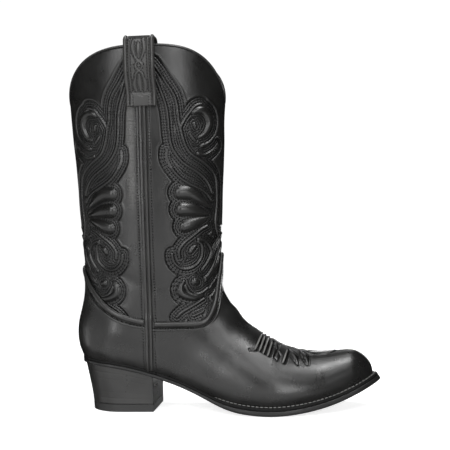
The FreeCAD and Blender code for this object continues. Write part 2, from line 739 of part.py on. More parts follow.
def build_bottom():
    gap = size["layer_gap"]
    insole_low = 0.1
    insole_high = insole_low + size["insole_depth"]
    breast = size["breast_x"]

    nails = [
        pin(size["nail_radius"], size["nail_length"], size["nail_head_radius"], size["nail_head_depth"],
            along_feather(x, y, insole_high - 0.02)) for x, y in NAIL_PLACES
    ]
    screw = pin(size["screw_radius"], size["screw_length"], size["screw_head_radius"],
                size["screw_head_depth"], along_feather(*SCREW_PLACE, insole_high - 0.02))
    lift_nails = [
        Part.makeCylinder(size["nail_radius"], size["lift_nail_length"], Vector(x, y, 1.2))
        for x, y in LIFT_NAIL_PLACES
    ]
    pegs = [
        Part.makeCylinder(size["peg_radius"], insole_low - sole_low(x) - 0.4,
                          along_feather(x, y, sole_low(x) + 0.3))
        for x, y in PEG_PLACES
    ]

    insole = prism(plan_wire(-2.9)).common(slab(insole_low, insole_high))
    add_shape("insole", drilled(insole, nails + [screw]))
    liner_low = insole_high + gap
    add_shape("sock_liner", prism(plan_wire(-3.7)).common(slab(liner_low, liner_low + size["sock_depth"])))

    ring = prism(plan_wire(forepart_outset, 1.6)).cut(prism(plan_wire(-6.2)))
    add_shape("welt", ring.common(slab(welt_low, -gap, breast + 4.0, 170.0)))
    rand = prism(plan_wire(1.7)).cut(prism(plan_wire(-6.2)))
    add_shape("heel_rand", rand.common(slab(welt_low, -gap, -170.0, breast + 3.9)))
    rib = prism(plan_wire(-6.4)).cut(prism(plan_wire(-6.4 - size["rib_width"])))
    add_shape("insole_rib", rib.common(slab(-2.8, insole_low - gap, breast + 10.0, 170.0)))
    hollow = slab(-2.8, insole_low - gap, size["shank_front_x"] + 2.0, 117.0)
    add_shape("cork_filler", prism(plan_wire(-8.3)).common(hollow))

    length = size["shank_front_x"] - size["shank_back_x"]
    half = size["shank_width"] / 2.0
    bar = Part.makeBox(length, size["shank_width"], 200.0, Vector(size["shank_back_x"], -half, -40.0))
    bar = bar.makeFillet(half - 0.5, [bar.Edges[k] for k in (0, 2, 4, 6)])
    shank = bar.common(slab(-2.4, -2.4 + size["shank_depth"]))
    add_shape("shank", drilled(shank, [screw]))

    outsole = prism(plan_wire(forepart_outset, 5.4)).common(slab(sole_low, sole_high))
    add_shape("outsole", drilled(outsole, nails + [screw] + pegs))

    block_wires = [heel_wire(size["lift_depth"] + gap, 0.0), heel_wire(28.0, 0.38), heel_wire(62.0, 1.2)]
    block = Part.makeLoft(block_wires, True, False)
    room = slab(-90.0, lambda x: sole_low(x) - gap)
    add_shape("heel_block", drilled(block.common(room), nails + [screw] + lift_nails))
    lift = Part.makeLoft([heel_wire(0.0, -0.04), heel_wire(size["lift_depth"], 0.0)], True, True)
    add_shape("top_lift", drilled(lift, lift_nails + [
        Part.makeCylinder(size["nail_radius"], 1.21, Vector(x, y, -0.01)) for x, y in LIFT_NAIL_PLACES
    ]))
    add_shape("heel_nails", Part.makeCompound(nails))
    add_shape("heel_screw", screw)
    add_shape("top_lift_nails", Part.makeCompound(lift_nails))
    add_shape("waist_pegs", Part.makeCompound(pegs))


def build_welt_stitching():
    """A row of short stitches on top of the welt, from the waist round the toe."""
    stitches = []
    w, last = 1.12, None
    radius, length = size["stitch_radius"], size["stitch_length"]
    while w < 2.88:
        place = outline_at(w, forepart_outset(surface(w, 2.0).x) - 1.7)
        place.z = feather_z(place.x) + radius
        if last is None:
            last = place
        elif (place - last).Length >= size["stitch_pitch"]:
            along = place - last
            along.normalize()
            stitches.append(Part.makeCylinder(radius, length, last, along))
            last = place
        w += 0.001
    add_shape("welt_stitching", Part.makeCompound(stitches))


# ---------------------------------------------------------------- output


def centre_on_origin():
    """Puts the floor at z 0 and the middle of the whole boot at x 0 and y 0."""
    box = FreeCAD.BoundBox()
    for part in parts:
        box.add(part.Shape.optimalBoundingBox(False, False))
    shift = Vector(-box.Center.x, -box.Center.y, -box.ZMin)
    for part in parts:
        part.Placement = FreeCAD.Placement(shift, FreeCAD.Rotation())


def check_and_write():
    doc.recompute()
    for item in doc.Objects:
        if "Invalid" in item.State or "Error" in item.State:
            raise RuntimeError(f"{item.Label} failed: {item.State}")
    os.makedirs("parts", exist_ok=True)
    for part in parts:
        shape = part.Shape
        if shape.isNull() or not shape.isValid() or not shape.Solids:
            raise RuntimeError(f"{part.Label} has no valid solid")
        shape.exportStep(f"parts/{part.Label}.step")


build_upper()
for side in ("lateral", "medial"):
    build_piping(side)
    build_pull_strap(side)
build_binding("topline_binding_front", 1.0)
build_binding("topline_binding_back", 3.0)
build_vamp_cords()
build_bottom()
build_welt_stitching()
doc.recompute()
centre_on_origin()
check_and_write()
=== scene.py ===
"""A black western boot, right foot, on a white studio floor.

Lengths inside the shape functions are in millimetres, in the boot's own drawing frame: toe along +X, medial
side along +Y, +Z up. to_world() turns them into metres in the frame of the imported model. A side is -1 for the
lateral half and 1 for the medial half.
"""
import math

import bmesh
import bpy
import numpy as np
from mathutils import Matrix, Vector


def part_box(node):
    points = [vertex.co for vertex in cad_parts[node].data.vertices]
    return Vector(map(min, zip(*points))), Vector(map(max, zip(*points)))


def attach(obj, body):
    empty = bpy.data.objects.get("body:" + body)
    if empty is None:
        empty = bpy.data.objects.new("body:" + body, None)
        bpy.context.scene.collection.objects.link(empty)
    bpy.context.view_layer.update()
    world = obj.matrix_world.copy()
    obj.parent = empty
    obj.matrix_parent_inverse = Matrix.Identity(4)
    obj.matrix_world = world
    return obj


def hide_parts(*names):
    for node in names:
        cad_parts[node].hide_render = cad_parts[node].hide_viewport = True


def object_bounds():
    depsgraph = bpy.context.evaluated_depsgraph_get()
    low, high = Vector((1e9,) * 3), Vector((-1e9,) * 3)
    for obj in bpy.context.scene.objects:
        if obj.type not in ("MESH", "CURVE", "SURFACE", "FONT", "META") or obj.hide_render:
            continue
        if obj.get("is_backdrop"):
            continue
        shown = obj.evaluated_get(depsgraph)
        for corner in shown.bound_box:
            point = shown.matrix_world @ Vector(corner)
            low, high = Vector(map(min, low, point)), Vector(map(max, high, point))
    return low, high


# ---------------------------------------------------------------- curves


class Curve:
    """Natural cubic spline through (x, y) points, which runs straight on past its ends."""

    def __init__(self, points):
        self.x, self.y = (np.array(side, float) for side in zip(*points))
        gaps = np.diff(self.x)
        slopes = np.diff(self.y) / gaps
        n = len(self.x)
        matrix = np.eye(n)
        right = np.zeros(n)
        for i in range(1, n - 1):
            matrix[i, i - 1:i + 2] = gaps[i - 1], 2.0 * (gaps[i - 1] + gaps[i]), gaps[i]
            right[i] = 6.0 * (slopes[i] - slopes[i - 1])
        self.bend = np.linalg.solve(matrix, right)
        self.start_slope = slopes[0] - gaps[0] * self.bend[1] / 6.0
        self.end_slope = slopes[-1] + gaps[-1] * self.bend[-2] / 6.0

    def __call__(self, x):
        x = np.asarray(x, float)
        i = np.clip(np.searchsorted(self.x, x, side="right") - 1, 0, len(self.x) - 2)
        gap = self.x[i + 1] - self.x[i]
        a, b = x - self.x[i], self.x[i + 1] - x
        value = (self.y[i] * b + self.y[i + 1] * a) / gap
        value = value - a * b * (self.bend[i] * (b + gap) + self.bend[i + 1] * (a + gap)) / (6.0 * gap)
        value = np.where(x < self.x[0], self.y[0] + (x - self.x[0]) * self.start_slope, value)
        return np.where(x > self.x[-1], self.y[-1] + (x - self.x[-1]) * self.end_slope, value)


def dome(s, power=2.0):
    """Quarter of a rounded end: 0 at s 0, and 1 from s 1 on."""
    s = np.clip(s, 0.0, 1.0)
    return (1.0 - (1.0 - s) ** power) ** (1.0 / power)


def ease(s):
    s = np.clip(s, 0.0, 1.0)
    return s * s * (3.0 - 2.0 * s)


def mix(a, b, share):
    return a + (b - a) * share


def bump(distance, width):
    """A smooth rounded bump: 1 at distance 0, and 0 from width on."""
    return ease(1.0 - np.abs(distance) / width)


# ---------------------------------------------------------------- master surface, the same as the CAD's

SEAM_X, TOE_TIP_X, HEEL_BACK_X = -68.6, 136.6, -138.0
ANKLE, DIP, SIDE_RISE = 160.0, 291.0, 49.5
TOE_ROUND, TOE_WIDTH_ROUND = 24.0, 20.0
SWELL, SWELL_HEIGHT = 3.0, 14.0
BEND_X, BEND_Z, BEND_SCALE = 45.0, 140.0, 60.0
THROAT_TURN = BEND_SCALE * math.pi / 2.0
LEATHER = 1.5

feather_z = Curve([
    (-143, 51.5), (-106, 48), (-74, 41), (-56, 35.4), (-33, 26.4), (-5, 14.5), (8, 11.2), (25, 8.9),
    (43, 8.0), (56, 8.4), (71, 9.9), (99, 15.6), (123, 24.6), (137, 31.2),
])
back_x = Curve([
    (44, -136.5), (51, -138.0), (60, -141.2), (68, -142.6), (76, -142.9), (86, -141.7), (97, -138.9),
    (109, -136.5), (123, -135.9), (144, -137.4), (180, -140.2), (223, -142.7), (262, -146.1), (291, -148.0),
    (304, -149.0), (345, -149.2),
])
FRONT_LEG = [
    (4.2, 345), (3.9, 300), (2.5, 282), (1.8, 254), (0.0, 219), (-1.3, 192), (-2.2, 169), (-3.0, 153),
]
FRONT_THROAT = [
    (-4.4, 138), (-4.0, 123), (-3.0, 111.3), (1.9, 102.4), (10.6, 91.3), (16.4, 83.6), (25.5, 75.4),
    (36.8, 67.6), (50.3, 60.0),
]
FRONT_TOE = [(71.2, 52.4), (84, 50.9), (98, 51.4), (114, 53.0), (125, 53.4), (137, 53.0)]
HALF_WIDTHS = {
    "lateral": Curve([
        (-138, 29), (-110, 30), (-80, 29.5), (-55, 28.5), (-32, 29), (-5, 34), (20, 39.5), (38, 41.5),
        (55, 40.5), (75, 35.5), (95, 28), (112, 21), (125, 16), (137, 12.5),
    ]),
    "medial": Curve([
        (-138, 29), (-110, 29.5), (-80, 27.5), (-55, 24.5), (-32, 23), (-5, 27.5), (20, 35.5), (38, 40),
        (52, 41), (70, 38.5), (95, 31), (112, 24.5), (125, 19.5), (137, 15),
    ]),
}
leg_half_width = Curve([(40, 32), (95, 33.5), (120, 35), (160, 38), (220, 41.5), (290, 44), (345, 45.5)])
back_round = Curve([(44, 33), (60, 36), (90, 50), (125, 66), (180, 71), (345, 75)])
front_round = Curve([
    (-205, 76), (-80, 72), (-20, 69), (20, 66), (60, 56), (THROAT_TURN, 46.5), (THROAT_TURN + 30, 38),
])


def bent(x, z):
    """Station along the front of the boot, and distance from the bend line in front of the throat."""
    turned = BEND_SCALE * np.arctan2(BEND_Z - z, BEND_X - x)
    station = np.where(z >= BEND_Z, BEND_Z - z, np.where(x >= BEND_X, THROAT_TURN + x - BEND_X, turned))
    fanned = np.hypot(BEND_Z - z, BEND_X - x)
    return station, np.where(z >= BEND_Z, BEND_X - x, np.where(x >= BEND_X, BEND_Z - z, fanned))


front_radius = Curve([tuple(float(v) for v in bent(x, z)) for x, z in FRONT_LEG + FRONT_THROAT + FRONT_TOE])


def ridge_z(x):
    """Top of the forefoot in side view, with the toe's rounded end."""
    ridge = BEND_Z - front_radius(THROAT_TURN + x - BEND_X)
    low = feather_z(x)
    return low + (ridge - low) * dome((TOE_TIP_X - x) / TOE_ROUND, 2.35)


def below_front(x, z):
    """How deep a side-view point lies below the front line, and the depth over which the side rounds off."""
    station, radius = bent(x, z)
    forefoot = (x >= BEND_X) & (z < BEND_Z)
    depth = np.where(forefoot, ridge_z(x) - z, radius - front_radius(station))
    rounding = np.where(forefoot, 0.84 * (ridge_z(x) - feather_z(x)), front_round(station))
    return depth, np.maximum(rounding, 1e-6)


def half_width(x, z, side):
    """Half the thickness of the boot at a side-view point."""
    depth, rounding = below_front(x, z)
    above = np.maximum(z - feather_z(x), 0.0)
    swelling = SWELL * (1.0 - np.maximum(1.0 - above / SWELL_HEIGHT, 0.0) ** 2)
    toe = dome((TOE_TIP_X - x) / TOE_WIDTH_ROUND)
    sole = np.where(side < 0, HALF_WIDTHS["lateral"](x), HALF_WIDTHS["medial"](x))
    width = mix((sole + swelling) * toe, leg_half_width(z), ease((z - 55.0) / 60.0))
    return width * dome(depth / rounding) * dome((x - back_x(z)) / back_round(z))


TOE_START = THROAT_TURN + TOE_TIP_X - TOE_ROUND - BEND_X


def front_point(q):
    """Point of the front line at station q. Past TOE_START, q counts degrees round the toe."""
    q = np.asarray(q, float)
    turn = np.radians(np.clip(q - TOE_START, 0.0, 90.0))
    x_toe = TOE_TIP_X - TOE_ROUND * (1.0 - np.sin(turn))
    x_top = BEND_X + q - THROAT_TURN
    radius = front_radius(q)
    angle = np.maximum(q, 0.0) / BEND_SCALE
    x_leg = BEND_X - radius * np.cos(angle)
    z_leg = BEND_Z - radius * np.sin(angle) - np.minimum(q, 0.0)
    x = np.where(q > TOE_START, x_toe, np.where(q > THROAT_TURN, x_top, x_leg))
    return x, np.where(q > THROAT_TURN, ridge_z(x), z_leg)


FRONT_Q = np.linspace(BEND_Z - ANKLE, TOE_START + 90.0, 301)
FRONT_LENGTH = np.concatenate([[0.0], np.cumsum(np.hypot(*np.diff(np.array(front_point(FRONT_Q)))))])
SEAM_SHARE, NOTCH = 0.5237, 0.006


def top_z(t):
    """Height of the scalloped top line at share t from back to front."""
    behind = t < SEAM_SHARE
    q = np.minimum(np.abs(t - SEAM_SHARE) / np.where(behind, SEAM_SHARE, 1.0 - SEAM_SHARE), 1.0)
    full = np.sqrt(1.0 - q ** np.where(behind, 3.0, 3.7) + NOTCH)
    return DIP + SIDE_RISE * (full - math.sqrt(NOTCH)) / (math.sqrt(1.0 + NOTCH) - math.sqrt(NOTCH))


def side_point(v, t):
    """Side view of the surface: v is 0 at the top line, 1 at the ankle and 2 at the feather line."""
    z_leg = mix(top_z(t), ANKLE, v)
    x_leg = mix(back_x(z_leg), BEND_X - front_radius(BEND_Z - z_leg), t)
    g = np.clip(v - 1.0, 0.0, 1.0)
    heel_z, toe_z = float(feather_z(HEEL_BACK_X)), float(feather_z(TOE_TIP_X))
    z_back = mix(ANKLE, heel_z, g)
    x_front, z_front = front_point(np.interp(g * FRONT_LENGTH[-1], FRONT_LENGTH, FRONT_Q))
    sag = feather_z(mix(HEEL_BACK_X, TOE_TIP_X, t)) - mix(heel_z, toe_z, t)
    x_foot = mix(back_x(z_back), x_front, t)
    z_foot = mix(z_back, z_front, t) + g * g * sag
    return np.where(v <= 1.0, x_leg, x_foot), np.where(v <= 1.0, z_leg, z_foot)


def halve(passed, low, high, steps=30):
    """The values between low and high up to which passed() is true, found by halving."""
    for _ in range(steps):
        middle = (low + high) / 2.0
        go_on = passed(middle)
        low, high = np.where(go_on, middle, low), np.where(go_on, high, middle)
    return (low + high) / 2.0


def seam_turns():
    """Turn from the back line to the side seam, in degrees, as a curve over v."""
    v = np.linspace(0.0, 2.0, 41)
    turns = halve(
        lambda turn: side_point(v, (1.0 - np.cos(np.radians(turn))) / 2.0)[0] < SEAM_X,
        np.full(41, 20.0), np.full(41, 120.0))
    return Curve(list(zip(v, turns)))


SEAM_TURNS = seam_turns()


def surface(w, v):
    """Points of the master surface. w is 0 at the back, 1 and 3 at the seams, and 2 in front."""
    w = np.mod(w, 4.0)
    side = np.where(w <= 2.0, -1.0, 1.0)
    near = np.where(w <= 2.0, w, 4.0 - w)
    seam = SEAM_TURNS(v)
    turn = np.where(near <= 1.0, seam * near, mix(seam, 180.0, near - 1.0))
    x, z = side_point(v, (1.0 - np.cos(np.radians(turn))) / 2.0)
    return np.stack(np.broadcast_arrays(x, side * half_width(x, z, side), z), -1)


def unit(vectors):
    return vectors / np.maximum(np.linalg.norm(vectors, axis=-1, keepdims=True), 1e-12)


def outward(w, v, step=2e-3):
    along = surface(w + step, v) - surface(w - step, v)
    down = surface(w, np.minimum(v + step, 2.0)) - surface(w, np.maximum(v - step, 0.0))
    return unit(np.cross(down, along))


SEAM_EDGE_Z = 85.3
ANKLE_BACK_X, ANKLE_DEPTH = -138.2, 135.6
VAMP_RISE, VAMP_SPREAD, VAMP_SHARPNESS = 67.7, 24.3, 2.6
COUNTER_RISE, COUNTER_SPREAD, COUNTER_SHARPNESS = 54.5, 50.8, 2.14


def share_turn(x):
    """Turn round the ankle, from 0 at the back to 180 degrees in front, of a place at x."""
    return np.degrees(np.arccos(1.0 - 2.0 * np.clip((x - ANKLE_BACK_X) / ANKLE_DEPTH, 0.0, 1.0)))


def vamp_edge(x):
    return SEAM_EDGE_Z + VAMP_RISE * np.exp(-(((180.0 - share_turn(x)) / VAMP_SPREAD) ** VAMP_SHARPNESS))


def counter_edge(x):
    return SEAM_EDGE_Z + COUNTER_RISE * np.exp(-((share_turn(x) / COUNTER_SPREAD) ** COUNTER_SHARPNESS))


def find_v(w, limit):
    """v at which the lines at w pass a limit on the way down."""

    def above(v):
        points = surface(w, v)
        return limit(points[..., 0], points[..., 2]) > 0

    return halve(above, np.zeros_like(w), np.full_like(w, 2.0), 26)


# ---------------------------------------------------------------- meshes

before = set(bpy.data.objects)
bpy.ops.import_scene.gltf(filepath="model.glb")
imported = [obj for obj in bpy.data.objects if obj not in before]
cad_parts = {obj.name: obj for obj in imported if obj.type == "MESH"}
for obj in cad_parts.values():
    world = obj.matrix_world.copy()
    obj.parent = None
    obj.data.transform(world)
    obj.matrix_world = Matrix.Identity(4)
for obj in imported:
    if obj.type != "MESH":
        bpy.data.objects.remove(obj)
MM_PER_METRE = 1000.0
SHIFT = sum(corner[0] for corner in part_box("pull_strap_lateral")) * MM_PER_METRE / 2.0 - SEAM_X


def to_world(points):
    return (np.asarray(points, float) + (SHIFT, 0.0, 0.0)) / MM_PER_METRE


def face_outward(mesh):
    """Turns every face of a closed mesh outward."""
    work = bmesh.new()
    work.from_mesh(mesh)
    bmesh.ops.recalc_face_normals(work, faces=work.faces)
    work.to_mesh(mesh)
    work.free()


def make_object(name, vertices, faces, material, values=None):
    """A smooth mesh from millimetre vertices. values holds one number per vertex for each named attribute."""
    mesh = bpy.data.meshes.new(name)
    mesh.from_pydata(to_world(vertices).tolist(), [], faces)
    mesh.validate()
    for key, numbers in (values or {}).items():
        attribute = mesh.attributes.new(key, "FLOAT", "POINT")
        attribute.data.foreach_set("value", np.asarray(numbers, np.float32).ravel())
    face_outward(mesh)
    mesh.polygons.foreach_set("use_smooth", np.ones(len(mesh.polygons), bool))
    mesh.update()
    piece = bpy.data.objects.new(name, mesh)
    bpy.context.collection.objects.link(piece)
    piece.data.materials.append(material)
    return piece


def stand_in(piece, node):
    """Ties a piece to the boot in place of a CAD node, and hides the node."""
    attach(piece, "root")
    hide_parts(node)


def grid_faces(rows, columns, start=0, flip=False, wrap=False):
    """Quads of a grid of vertices stored row by row. wrap joins the last column to the first."""
    i, j = np.meshgrid(np.arange(rows - 1), np.arange(columns if wrap else columns - 1), indexing="ij")
    k = (j + 1) % columns
    here, below = i * columns + start, (i + 1) * columns + start
    quads = np.stack([here + j, below + j, below + k, here + k], -1).reshape(-1, 4)
    return (quads[:, ::-1] if flip else quads).tolist()


def ring_of(rows, columns):
    """Vertex numbers round the border of a grid."""
    ring = [j for j in range(columns)] + [i * columns + columns - 1 for i in range(1, rows)]
    ring += [(rows - 1) * columns + j for j in range(columns - 2, -1, -1)]
    return ring + [i * columns for i in range(rows - 2, 0, -1)]


def closed_shell(outer, inner, stride):
    """Vertices and faces of a closed shell of two grids: the inner one has one vertex per stride."""
    rows, columns = outer.shape[:2]
    count = rows * columns
    inner_rows, inner_columns = inner.shape[:2]
    faces = grid_faces(rows, columns) + grid_faces(inner_rows, inner_columns, count, flip=True)
    fine = ring_of(rows, columns)
    coarse = [count + k for k in ring_of(inner_rows, inner_columns)]
    for i, here in enumerate(coarse):
        after = coarse[(i + 1) % len(coarse)]
        edge = [fine[(i * stride + k) % len(fine)] for k in range(stride + 1)]
        faces += [(b, a, here) for a, b in zip(edge, edge[1:])]
        faces.append((after, edge[-1], here))
    return np.concatenate([outer.reshape(-1, 3), inner.reshape(-1, 3)]), faces


def capped_tube(rings, start=0):
    """Vertices and faces of a tube through rings of points, closed at both ends."""
    count, around = rings.shape[:2]
    last = start + count * around
    faces = grid_faces(count, around, start, wrap=True)
    faces += [tuple(range(start, start + around)), tuple(range(last - 1, last - around - 1, -1))]
    return rings.reshape(-1, 3), faces


# ---------------------------------------------------------------- stitched and padded ornament


def smooth_path(points, per_span=8):
    """Points along a smooth path through control points, whatever numbers each point holds."""
    points = np.array(points, float)
    if len(points) < 3:
        return mix(points[0], points[-1], np.linspace(0.0, 1.0, per_span)[:, None])
    steps = np.concatenate([[0.0], np.cumsum(np.linalg.norm(np.diff(points[:, :2], axis=0), axis=1))])
    at = np.linspace(0.0, steps[-1], per_span * (len(points) - 1) + 1)
    return np.stack([Curve(list(zip(steps, column)))(at) for column in points.T], -1)


def arc_from_seam(u, z):
    """Distance round the shaft from the side seam to a place u in front of it in side view."""
    share = np.linspace(0.0, 1.0, 80)
    x = SEAM_X + np.multiply.outer(np.asarray(u, float), share)
    y = half_width(x, np.asarray(z, float)[..., None], -1.0)
    return np.hypot(np.diff(x, axis=-1), np.diff(y, axis=-1)).sum(-1)


# Strokes in side view of the front panel: distance in front of the seam, height, and radius of the puffs.
RIDGES = [
    [(10, 324), (16, 316), (22.5, 305.6), (28.7, 295.9), (32.2, 282), (33.2, 270.6), (34.9, 262.5),
     (37.8, 250.2), (42.2, 242), (50.6, 235.5), (58.7, 228.3), (63, 221), (64.1, 211.8), (64, 200),
     (63.2, 188), (62, 177), (63.5, 164)],
    [(12, 312), (19.1, 293.5), (22, 283.7), (23.6, 269), (24.4, 256.7), (26.6, 246), (31.2, 237.9),
     (37.3, 231.3), (42.6, 227.6), (50.2, 222.3), (57, 214), (60, 205)],
    [(34.8, 264.8), (36.9, 269.4), (39.9, 274.4), (43.7, 279.4), (46.9, 283.6), (50.2, 285.8), (53.7, 286.4)],
    [(25.3, 227.7), (29.9, 221.5), (35.3, 216.6), (42.2, 212.4), (49.9, 208.2), (55.9, 203.3), (59.4, 197.7)],
    [(49.1, 240.7), (52.7, 239.7), (56.9, 240.4), (60.8, 243.2), (64, 246.5), (66.1, 250.2)],
    [(47, 159), (49.4, 156.6), (50.3, 152.1), (49.7, 145.3), (46.3, 138.8), (40, 134.5), (32.9, 133.9),
     (27.8, 137), (24.4, 142.1), (23.8, 147.8)],
    [(55, 173.5), (48.8, 169.6), (44.1, 165.6), (36.8, 159.9), (31.9, 154.3), (29.8, 149.4), (30.4, 144.4)],
    [(47.1, 160.9), (52.4, 159.5), (56, 155.1), (57.8, 150)],
    [(65.8, 166.5), (62.8, 159.9), (59, 152.5), (56.9, 145.1), (54, 138.4), (50.1, 132.8)],
    [(34.9, 117.7), (38.8, 111.7), (45.1, 109.6), (51.3, 111.9), (55.2, 114.9)],
    [(51.7, 105.2), (43.4, 100.7), (35.3, 96.1), (29.5, 92.2), (26.3, 88.9)],
    [(50.7, 93.9), (41.7, 90.1)],
    [(65.8, 131), (61.5, 121.8), (57, 115.1)],
]
PUFFS = [
    [(32.6, 204.6, 5.9), (40, 204.4, 6.0), (48, 200, 4.8), (57.5, 191.5, 1.0)],
    [(33.6, 189.2, 6.1), (41, 188.8, 5.8), (49, 187, 3.8), (56.5, 184.8, 1.0)],
    [(35.6, 173.2, 5.4), (42, 175.4, 5.2), (49, 178.4, 3.4), (56, 181.4, 1.0)],
    [(46, 278.4, 1.4), (49.6, 280.6, 2.9), (53.8, 281, 4.0), (57.8, 278.4, 4.6), (60, 273, 4.4),
     (59.7, 267.3, 3.7), (57.5, 262, 2.8), (54.3, 258, 1.8), (50.6, 256, 0.8)],
    [(46.7, 268.6, 1.4), (47.6, 265.8, 1.5)],
    [(43.2, 258.2, 0.8), (45.2, 255.7, 1.2), (47.4, 253, 0.9)],
    [(40.2, 149.6, 1.7), (41.8, 152.4, 2.1), (44.4, 154.4, 1.2)],
    [(43.2, 121.4, 2.9), (45.4, 120.8, 2.2)],
    [(33.4, 122, 1.2), (30.6, 117.6, 3.0), (30.8, 112.6, 3.8), (36, 108.4, 3.4), (44, 106.8, 2.2),
     (51, 108.6, 0.8)],
]
ROWS_ONLY = [[(21.4, 244), (21.2, 236), (25.3, 227.7)], [(56, 98), (52, 90)]]
RIDGE_RADIUS, RIDGE_HEIGHT = 1.15, 1.0925
PUFF_HEIGHT, FULL_PUFF_RADIUS = 3.0, 6.0
ROW_REACH = 6.2  # how far the rows of contour stitching reach out from a padded shape


def ornament_strokes():
    """Every stroke of the ornament as rows of (distance round the shaft, height, radius, puff)."""
    strokes = []
    for path in RIDGES + ROWS_ONLY + PUFFS:
        line = smooth_path(path)
        radius = line[:, 2] if path in PUFFS else np.full(len(line), RIDGE_RADIUS)
        height = np.full(len(line), RIDGE_HEIGHT if path in RIDGES else 0.0)
        if path in PUFFS:
            height = PUFF_HEIGHT * (np.maximum(radius, 0.3) / FULL_PUFF_RADIUS) ** 0.7
        strokes.append(np.stack([arc_from_seam(line[:, 0], line[:, 1]), line[:, 1], radius, height], -1))
    return strokes


def measure_strokes(a, b, strokes):
    """For places (a, b): distance outside the nearest stroke, height of its puff, and length round it."""
    outside = np.full(a.shape, 1e3)
    puff = np.zeros(a.shape)
    round_it = np.zeros(a.shape)
    for stroke in strokes:
        gone = 0.0
        for (a0, b0, r0, h0), (a1, b1, r1, h1) in zip(stroke, stroke[1:]):
            length = max(math.hypot(a1 - a0, b1 - b0), 1e-9)
            ahead = ((a - a0) * (a1 - a0) + (b - b0) * (b1 - b0)) / length
            share = np.clip(ahead / length, 0.0, 1.0)
            away = np.hypot(a - mix(a0, a1, share), b - mix(b0, b1, share))
            radius = mix(r0, r1, share)
            raised = mix(h0, h1, share) * np.maximum(1.0 - (away / radius) ** 2, 0.0) ** 0.75
            puff = np.maximum(puff, raised)
            nearer = away - radius < outside
            past = np.arcsin(np.clip((ahead - share * length) / np.maximum(away, 1e-6), -1.0, 1.0))
            round_it = np.where(nearer, gone + share * length + away * past, round_it)
            outside = np.where(nearer, away - radius, outside)
            gone += length
    return outside, puff, round_it


# ---------------------------------------------------------------- upper


def distance_from_seams(points):
    """Horizontal distance of a shaft panel's points from the nearer of its two side seams."""
    steps = np.hypot(*(np.diff(points[..., axis], axis=0) for axis in (0, 1)))
    near = np.concatenate([np.zeros((1, points.shape[1])), np.cumsum(steps, axis=0)])
    middle = len(points) // 2
    return np.concatenate([near[:middle], near[-1] - near[middle:]])


def leaf_grid(w0, w1, top, bottom, across, down, bunch=1.0):
    """Grid of a leather piece: points of the master surface, and its outward normals.

    A bunch above 1 draws the lines together in the middle of the piece.
    """
    place = np.linspace(-1.0, 1.0, across)
    w = mix(w0, w1, 0.5 + 0.5 * np.sign(place) * np.abs(place) ** bunch)
    v = mix(top(w)[:, None], bottom(w)[:, None], np.linspace(0.0, 1.0, down))
    w = np.broadcast_to(w[:, None], v.shape)
    return surface(w, v), outward(w, v)


UNSTITCHED = 9.0  # distance from any stitching on leather that has none
INNER_STRIDE = 4  # a leather piece's inner face has one vertex for each four of its outer face


def leather_piece(name, grid, height, material, values):
    """A closed leather shell whose outer face stands at height above the master surface."""
    points, normals = grid
    outer = points + normals * height[..., None]
    depth = np.minimum(height, np.median(height)) - LEATHER
    inner = (points + normals * depth[..., None])[::INNER_STRIDE, ::INNER_STRIDE]
    vertices, faces = closed_shell(outer, inner, INNER_STRIDE)
    padded = {}
    for key, numbers in values.items():
        rest = 0.0 if key in ("crackle_and_sheen", "shade") else UNSTITCHED
        padded[key] = np.concatenate([numbers.ravel(), np.full(inner.size // 3, rest)])
    piece = make_object(name, vertices, faces, material, padded)
    stand_in(piece, name)


WAVE_HEIGHT = 0.16
FURTHEST = 500.0  # more than any distance on the boot
UNMEASURED = 40.0  # stands for the distance from an edge where it is past all stitching


def undulation(points):
    """Slow waves that a hand-lasted leather keeps."""
    x, y, z = points[..., 0], points[..., 1], points[..., 2]
    waves = np.sin(x / 13.0 + z / 29.0 + 0.7) * np.sin(z / 17.0 - y / 21.0)
    waves += 0.6 * np.sin(x / 7.1 - z / 11.0 + 2.0) * np.sin(z / 9.0 + y / 8.0 + 0.4)
    return WAVE_HEIGHT * waves


# Soft creases in side view: x, z, turn in degrees, half length, half width.
ANKLE_CREASES = [(-124, 150, -10, 16, 3.6), (-122, 136, -16, 16, 4.0), (-60, 118, 4, 30, 6.0)]
INSTEP_CREASES = [(4, 99, -12, 16, 4.0), (10, 84, -30, 22, 5.5)]


def creases(points, table, depth):
    """Height that the creases of a table take off the leather."""
    total = 0.0
    for x, z, angle, length, width in table:
        turn = math.radians(angle)
        along = (points[..., 0] - x) * math.cos(turn) + (points[..., 2] - z) * math.sin(turn)
        across = (points[..., 2] - z) * math.cos(turn) - (points[..., 0] - x) * math.sin(turn)
        across = across - 0.012 * along ** 2
        total = total + np.exp(-(along / length) ** 2 - (across / width) ** 2)
    return -depth * total


PANEL_UNDERLAP = 9.0
PANEL_SEAM_ROW = 6.4  # stitching beside the piping, measured round the shaft
PRESSED = 0.8  # depth of the ground round the padded scrolls


